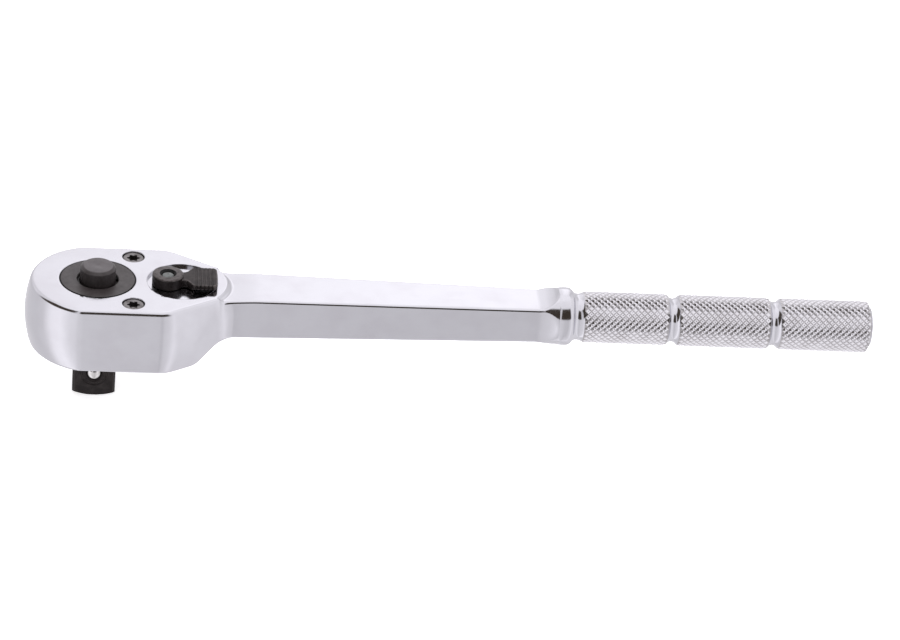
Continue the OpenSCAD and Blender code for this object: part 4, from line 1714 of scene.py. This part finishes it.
@dataclass
class ReverseLever:
    """The lever: a round boss, a neck and a ribbed thumb piece.

    Attributes:
        boss_r: radius of the boss.
        boss_z: heights of the boss.
        neck_w: width of the neck.
        plate_z: heights of the thumb piece.
        thumb_x: first and last place of the thumb piece from the lever's axis.
        thumb_w: width of the thumb piece.
        shoulder: length of its slanted shoulders.
        nip: how much its corners are cut back.
        groove_r: radius of the grooves between the ribs.
        rib_pitch: distance of the ribs.
        ribs: number of grooves.
        seat: radius and top of the bore for the spindle.
        rivet: radius of the riveted bore, and of its mouth.
    """

    boss_r: float = 4.65
    boss_z: Pair = (20.05, 23.55)
    neck_w: float = 4.7
    plate_z: Pair = (21.2, 22.86)
    thumb_x: Pair = (5.9, 14.7)
    thumb_w: float = 10.8
    shoulder: float = 1.6
    nip: float = 0.9
    groove_r: float = 0.3
    rib_pitch: float = 1.15
    ribs: int = 5
    seat: Pair = (2.62, 21.95)
    rivet: Pair = (1.87, 2.5)

    def plate(self) -> Piece:
        """The neck and the thumb piece, with slanted shoulders and ribs across.

        Returns:
            The plate as a closed solid.
        """
        near, far = self.thumb_x
        half, neck = self.thumb_w / 2, self.neck_w / 2
        side = [
            (0, neck), (self.boss_r, neck), (near - 0.3, neck + 0.25), (near + self.shoulder, half),
            (far - self.nip, half), (far - 0.15, half - self.nip), (far, 1.2),
        ]
        outline = [(LEVER_X + x, y) for x, y in side]
        outline += [(x, -y) for x, y in reversed(outline)]
        low, high = self.plate_z
        piece = Bench.prism("thumb_piece", outline, low, high)
        dress(piece, LEVER_BLACK, WEAR_AND_HIGHLIGHT_BLACK)
        # the softened edges take the lighter black: wear and painted highlight
        Bench.soften(piece, 0.42, 2)
        start = near + self.shoulder + 0.9
        for rib in range(self.ribs):
            x = LEVER_X + start + rib * self.rib_pitch
            lathe = Lathe(centre=(x, -self.thumb_w, high + 0.1), axis=(0, 1, 0), side=(1, 0, 0), steps=16)
            Bench.work(piece, lathe.rod("rib_groove", self.groove_r, 0, 2 * self.thumb_w))
            for edge in (-1, 1):
                upright = Lathe(centre=(x, edge * (half + 0.08), 0), steps=16)
                Bench.work(piece, upright.rod("side_groove", self.groove_r, low - 1, high + 1))
        return piece

    def neck(self) -> Piece:
        """The deep web of the neck, which joins the boss to the shoulders of the thumb piece.

        Returns:
            The web as a closed solid.
        """
        half, end = self.neck_w / 2, LEVER_X + self.thumb_x[0]
        wide = half + self.shoulder
        outline = [(LEVER_X + 1, half), (end - 0.2, half), (end + 1.2, wide), (end + 1.8, wide)]
        outline += [(x, -y) for x, y in reversed(outline)]
        piece = Bench.prism("neck", outline, self.boss_z[0] + 0.15, self.plate_z[1] - 0.35)
        dress(piece, LEVER_BLACK, WEAR_AND_HIGHLIGHT_BLACK)
        # the softened edges take the lighter black: wear and painted highlight
        Bench.soften(piece, 0.4, 3)
        return piece

    def build(self) -> None:
        """Makes the lever and fits it."""
        low, high = self.boss_z
        foot, soft = 0.2, 0.55
        profile = [(0, low), (self.boss_r - foot, low), (self.boss_r, low + foot)]
        profile += quarter((self.boss_r - soft, high - soft), soft, 0, 90, 4)
        profile.append((0, high))
        lathe = Lathe(centre=(LEVER_X, 0, 0), steps=80)
        piece = lathe.turn("reverse_lever_ribbed", profile)
        dress(piece, LEVER_BLACK, WEAR_AND_HIGHLIGHT_BLACK, GAP_SHADE_BLACK)
        plain, wear_and_highlight, gap = range(3)
        # Upward faces of the boss take the lighter black: a painted highlight on its top.
        for face in piece.data.polygons:
            face.material_index = wear_and_highlight if face.normal.z > 0.25 else plain
        Bench.work(piece, self.plate(), Cut.ADD)
        Bench.work(piece, self.neck(), Cut.ADD)
        seat_r, seat_z = self.seat
        rivet_r, mouth_r = self.rivet
        bore = [(0, low - 1), (seat_r, low - 1), (seat_r, seat_z), (rivet_r, seat_z), (rivet_r, high - soft),
                (mouth_r, high), (mouth_r, high + 1), (0, high + 1)]
        Bench.work(piece, lathe.turn("rivet_bore", bore))
        axis = metres((LEVER_X, 0, 0)).xy
        # The faces round the rivet's mouth take near-black painted shade.
        for face in piece.data.polygons:
            reach = (face.center.xy - axis).length
            if reach < mouth_r * MM and face.center.z > (high - 1.7) * MM:
                face.material_index = gap
        Bench.heal(piece)
        Bench.shade(piece)
        fit(piece, Body.LEVER, Slot.BLACK_STEEL, "reverse_lever")


@dataclass
class LeverSpindle:
    """The spindle that carries lever and pawl, riveted over in the lever's boss.

    Attributes:
        radius: radius of the spindle.
        foot: bottom, top and radius of its foot.
        seat: bottom, top and radius of the lever's seat.
        grooves: bottom, top and radius of the grooves for clip and seal.
        rivet_r: radius of its riveted end.
        rivet_z: height of that end.
        dome: how far the riveted end is domed.
        selector: height, radius and bottom of the selector's bore.
    """

    radius: float = 3.0
    foot: Triple = (1.4, 3.3, 2.0)
    seat: Triple = (20.05, 21.85, 2.55)
    grooves: tuple[Triple, Triple] = ((15.55, 16.25, 2.55), (17.85, 18.95, 2.12))
    rivet_r: float = 1.86
    rivet_z: float = 23.3
    dome: float = 0.45
    selector: Triple = (9.4, 1.15, -1.8)

    def build(self) -> None:
        """Turns the spindle, bores it for the selector and fits it."""
        foot_z, foot_top, foot_r = self.foot
        edge, rounds = 0.2, 6
        profile = [(0, foot_z), (foot_r - edge, foot_z), (foot_r, foot_z + edge), (foot_r, foot_top),
                   (self.radius, foot_top)]
        for low, high, least in self.grooves:
            profile += [(self.radius, low), (least, low), (least, high), (self.radius, high)]
        low, high, seat_r = self.seat
        start = self.rivet_z - self.dome
        profile += [(self.radius, low), (seat_r, low), (seat_r, high), (self.rivet_r, high)]
        for step in range(rounds):
            angle = math.radians(90 * step / rounds)
            profile.append((self.rivet_r * math.cos(angle), start + self.dome * math.sin(angle)))
        profile.append((0.0, self.rivet_z))
        lathe = Lathe(centre=(LEVER_X, 0, 0), steps=64)
        piece = lathe.turn("lever_spindle_riveted", profile)
        height, bore_r, bore_end = self.selector
        across = Lathe(centre=(LEVER_X, 0, height), axis=(-1, 0, 0), side=(0, 0, 1), steps=32)
        Bench.work(piece, across.rod("selector_bore", bore_r, bore_end, self.radius + 2))
        Bench.heal(piece)
        dress(piece, SPINDLE_STEEL)
        Bench.shade(piece)
        fit(piece, Body.LEVER, Slot.BARE_STEEL, "lever_spindle")


@dataclass
class InnerWorks:
    """The small parts whose CAD shapes are kept, each with its own finish.

    Attributes:
        softening: bevel of the stamped parts' edges.
    """

    softening: float = 0.06

    def build(self) -> None:
        """Dresses the kept CAD nodes, and softens the edges of the stamped ones."""
        finishes = {
            "drive_o_ring": RUBBER,
            "spindle_o_ring": RUBBER,
            "drive_thrust_washer": BRONZE,
            "drive_wave_washer": SPRING_STEEL,
            "release_spring": SPRING_STEEL,
            "selector_spring": SPRING_STEEL,
            "spindle_circlip": SPRING_STEEL,
            # the retaining ring takes the near-black painted shade of the button's bore
            "button_retaining_ring": GAP_SHADE_BLACK,
            "release_plunger": BARE_STEEL,
            "selector_plunger": BARE_STEEL,
            "pawl": BARE_STEEL,
        }
        stamped = ("button_retaining_ring", "spindle_circlip", "drive_thrust_washer")
        for name, finish in finishes.items():
            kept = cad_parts[name]
            dress(kept, finish)
            if name in stamped:
                kept.modifiers.new("weld", "WELD").merge_threshold = TINY
                bevel = kept.modifiers.new("soften", "BEVEL")
                bevel.width = self.softening * MM
                bevel.segments = 2
                bevel.limit_method = "ANGLE"
            LOG.info("%s keeps its CAD shape, in %s", name, finish.name)


# ---------------------------------------------------------------- the studio


@dataclass(frozen=True)
class Tone:
    """A brightness in one direction of the room.

    Attributes:
        at: azimuth from the front, to the right, in degrees.
        light: brightness, where 1 is white.
        warmth: how much red is added and blue taken away.
    """

    at: float
    light: float
    warmth: float = 0.0


@dataclass
class Studio:
    """A white room with soft light, a pale floor and the camera.

    Attributes:
        camera: place of the camera.
        azimuth: how far it looks to the right of +Y, in degrees.
        elevation: how far it looks down, in degrees.
        roll: its roll, in degrees.
        lens: focal length.
        sensor: width of the camera's sensor.
        floor_touch: the lowest points of the square and of the grip's end, as x and z.
        floor_size: side of the floor, in metres.
        floor_white: how much light the floor throws back.
        floor_glow: how much it glows, so that shadows on it stay faint.
        lamp_size: diameter of the soft light, in metres.
        lamp_power: its power, in watts.
        lamp_place: its place, in metres.
        peak: the brightness that the room's tones are measured against.
        low_edge: where the tones below pass into those around, in degrees.
        high_edge: where those pass into the tones above.
        below: the tones of floor and table.
        around: the tones of walls and windows.
        above: the tones of the ceiling.
    """

    camera: Triple = (-13.607, -962.784, 579.07)
    azimuth: float = 7.04
    elevation: float = 30.356
    roll: float = 5.592
    lens: float = 150.4
    sensor: float = 36.0
    floor_touch: tuple[Pair, Pair] = ((0.0, -15.55), (231.0, 5.9))
    floor_size: float = 3.0
    floor_white: float = 0.93
    floor_glow: float = 0.74
    lamp_size: float = 1.6
    lamp_power: float = 24.0
    lamp_place: Triple = (0.1, 0.15, 1.5)
    peak: float = 2.0
    low_edge: Pair = (12.0, 18.0)
    high_edge: Pair = (53.0, 60.0)
    below: tuple[Tone, ...] = (
        Tone(-180, 1.0), Tone(-150, 0.85), Tone(-110, 0.85), Tone(-92, 0.95), Tone(-75, 1.32),
        Tone(-58, 1.38), Tone(-42, 1.12), Tone(-20, 0.97), Tone(-2, 0.93), Tone(6, 0.83),
        Tone(11.5, 0.79), Tone(17, 0.92), Tone(32, 1.0), Tone(50, 1.2), Tone(62, 1.1), Tone(74, 1.0),
        Tone(110, 1.0), Tone(150, 0.85), Tone(180, 1.0),
    )
    around: tuple[Tone, ...] = (
        Tone(-180, 1.28), Tone(-168, 1.25), Tone(-150, 0.98), Tone(-128, 1.1), Tone(-112, 0.9),
        Tone(-104, 0.07, 0.2), Tone(-38, 0.05, 0.2), Tone(-34, 0.9), Tone(-20, 0.9),
        Tone(-15, 0.05, 0.2), Tone(32, 0.05, 0.2), Tone(46, 1.15), Tone(120, 1.15), Tone(148, 0.85),
        Tone(164, 1.35), Tone(172, 1.56), Tone(180, 1.28),
    )
    above: tuple[Tone, ...] = (
        Tone(-180, 1.35), Tone(-100, 1.25), Tone(0, 1.15), Tone(100, 1.25), Tone(180, 1.35),
    )

    def ramp(self, tree: Tree, turn: Socket, tones: Sequence[Tone]) -> Socket:
        """A ring of tones round the horizon.

        Args:
            tree: the world's nodes.
            turn: the azimuth as a share of a full turn.
            tones: the tones in order.

        Returns:
            The colour in the asked direction.
        """
        made = node(tree, "ValToRGB", {"Fac": turn})
        elements = made.color_ramp.elements
        while len(elements) < len(tones):
            elements.new(0.5)
        for element, tone in zip(elements, tones):
            element.position = tone.at / 360 + 0.5
            level = tone.light / self.peak
            blue = 1.0 - tone.warmth if tone.warmth else 1.02
            element.color = (level * (1.0 + tone.warmth), level * 0.98, level * blue, 1)
        return made.outputs["Color"]

    def blend(self, tree: Tree, height: Socket, edge: Pair, low: Socket, high: Socket) -> Socket:
        """Passes from one colour of the room to another between two elevations.

        Args:
            tree: the world's nodes.
            height: the sine of the elevation.
            edge: where the change starts and ends, in degrees.
            low: the colour below.
            high: the colour above.

        Returns:
            The blended colour.
        """
        start, end = (math.sin(math.radians(angle)) for angle in edge)
        rise = {"From Min": start, "From Max": end, "Value": height}
        share = node(tree, "MapRange", rise, interpolation_type="SMOOTHSTEP").outputs["Result"]
        inputs = {"Factor": share, "A": low, "B": high}
        return node(tree, "Mix", inputs, data_type="RGBA").outputs["Result"]

    def build_room(self) -> None:
        """Makes the light of the room, which depends on direction alone; the camera sees it white."""
        world = bpy.data.worlds.new("white_room")
        bpy.context.scene.world = world
        world.use_nodes = True
        tree = world.node_tree
        tree.nodes.clear()
        place = node(tree, "TexCoord", {}).outputs["Generated"]
        split = node(tree, "SeparateXYZ", {"Vector": place}).outputs
        front = node(tree, "Math", {0: split["Y"], 1: -1.0}, operation="MULTIPLY").outputs["Value"]
        angle = node(tree, "Math", {0: split["X"], 1: front}, operation="ARCTAN2").outputs["Value"]
        to_turns = {0: angle, 1: 1 / math.tau, 2: 0.5}
        turn = node(tree, "Math", to_turns, operation="MULTIPLY_ADD").outputs["Value"]
        below, around = self.ramp(tree, turn, self.below), self.ramp(tree, turn, self.around)
        colour = self.blend(tree, split["Z"], self.low_edge, below, around)
        colour = self.blend(tree, split["Z"], self.high_edge, colour, self.ramp(tree, turn, self.above))
        room = node(tree, "Background", {"Strength": self.peak, "Color": colour})
        wall = node(tree, "Background", {"Color": (1, 1, 1, 1)})
        seen = node(tree, "LightPath", {}).outputs["Is Camera Ray"]
        choice = node(tree, "MixShader", {"Fac": seen, 1: room.outputs[0], 2: wall.outputs[0]})
        node(tree, "OutputWorld", {"Surface": choice.outputs["Shader"]})

    def floor_paper(self) -> bpy.types.Material:
        """The floor's finish, which is clear from below.

        Returns:
            The material.
        """
        material = bpy.data.materials.new("pale_floor_matt")
        material.use_nodes = True
        tree = material.node_tree
        tree.nodes.clear()
        white = self.floor_white
        matt = node(tree, "BsdfDiffuse", {"Color": (white, white, white, 1)})
        glow = node(tree, "Emission", {"Strength": self.floor_glow})
        paper = node(tree, "AddShader", {0: matt.outputs[0], 1: glow.outputs[0]})
        clear = node(tree, "BsdfTransparent", {})
        back = node(tree, "NewGeometry", {}).outputs["Backfacing"]
        choice = node(tree, "MixShader", {"Fac": back, 1: paper.outputs[0], 2: clear.outputs[0]})
        node(tree, "OutputMaterial", {"Surface": choice.outputs["Shader"]})
        return material

    def build_floor(self) -> None:
        """Lays the pale floor under the square's end and the grip's end."""
        (x0, z0), (x1, z1) = self.floor_touch
        tilt = math.atan2(z1 - z0, x1 - x0)
        place = metres((x0, 0, z0))
        bpy.ops.object.select_all(action="DESELECT")
        bpy.ops.mesh.primitive_plane_add(size=self.floor_size, location=place, rotation=(0, -tilt, 0))
        floor = bpy.context.object
        floor.name = "pale_floor"
        floor.visible_glossy = False
        floor.data.materials.append(self.floor_paper())

    def build_light(self) -> None:
        """Hangs one large soft light over the wrench."""
        data = bpy.data.lights.new("soft_light", "AREA")
        data.shape = "DISK"
        data.size = self.lamp_size
        data.energy = self.lamp_power
        light = bpy.data.objects.new("soft_light", data)
        light.location = self.lamp_place
        light.visible_glossy = False
        bpy.context.scene.collection.objects.link(light)

    def build_camera(self) -> None:
        """Sets up the camera."""
        data = bpy.data.cameras.new("camera")
        data.lens = self.lens
        data.sensor_width = self.sensor
        data.clip_start = 0.01
        camera = bpy.data.objects.new("camera", data)
        turn = Matrix.Rotation(math.radians(-self.azimuth), 4, "Z")
        nod = Matrix.Rotation(math.radians(90 - self.elevation), 4, "X")
        roll = Matrix.Rotation(math.radians(self.roll), 4, "Z")
        camera.matrix_world = Matrix.Translation(metres(self.camera)) @ turn @ nod @ roll
        bpy.context.scene.collection.objects.link(camera)
        bpy.context.scene.camera = camera

    def build(self) -> None:
        """Makes the room, the floor, the light and the camera."""
        self.build_camera()
        self.build_room()
        self.build_floor()
        self.build_light()
        view = bpy.context.scene.view_settings
        view.view_transform = "Standard"
        view.look = "None"


def main() -> None:
    """Builds the wrench piece by piece."""
    logging.basicConfig(level=logging.INFO, format="%(message)s")
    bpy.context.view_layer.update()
    for part in (
        Studio(), ForgedHandle(), KnurledGrip(), CoverPlate(), CoverScrews(), Drive(), PushButton(),
        SocketBall(), ReverseLever(), LeverSpindle(), InnerWorks(),
    ):
        part.build()


if __name__ == "__main__":
    main()
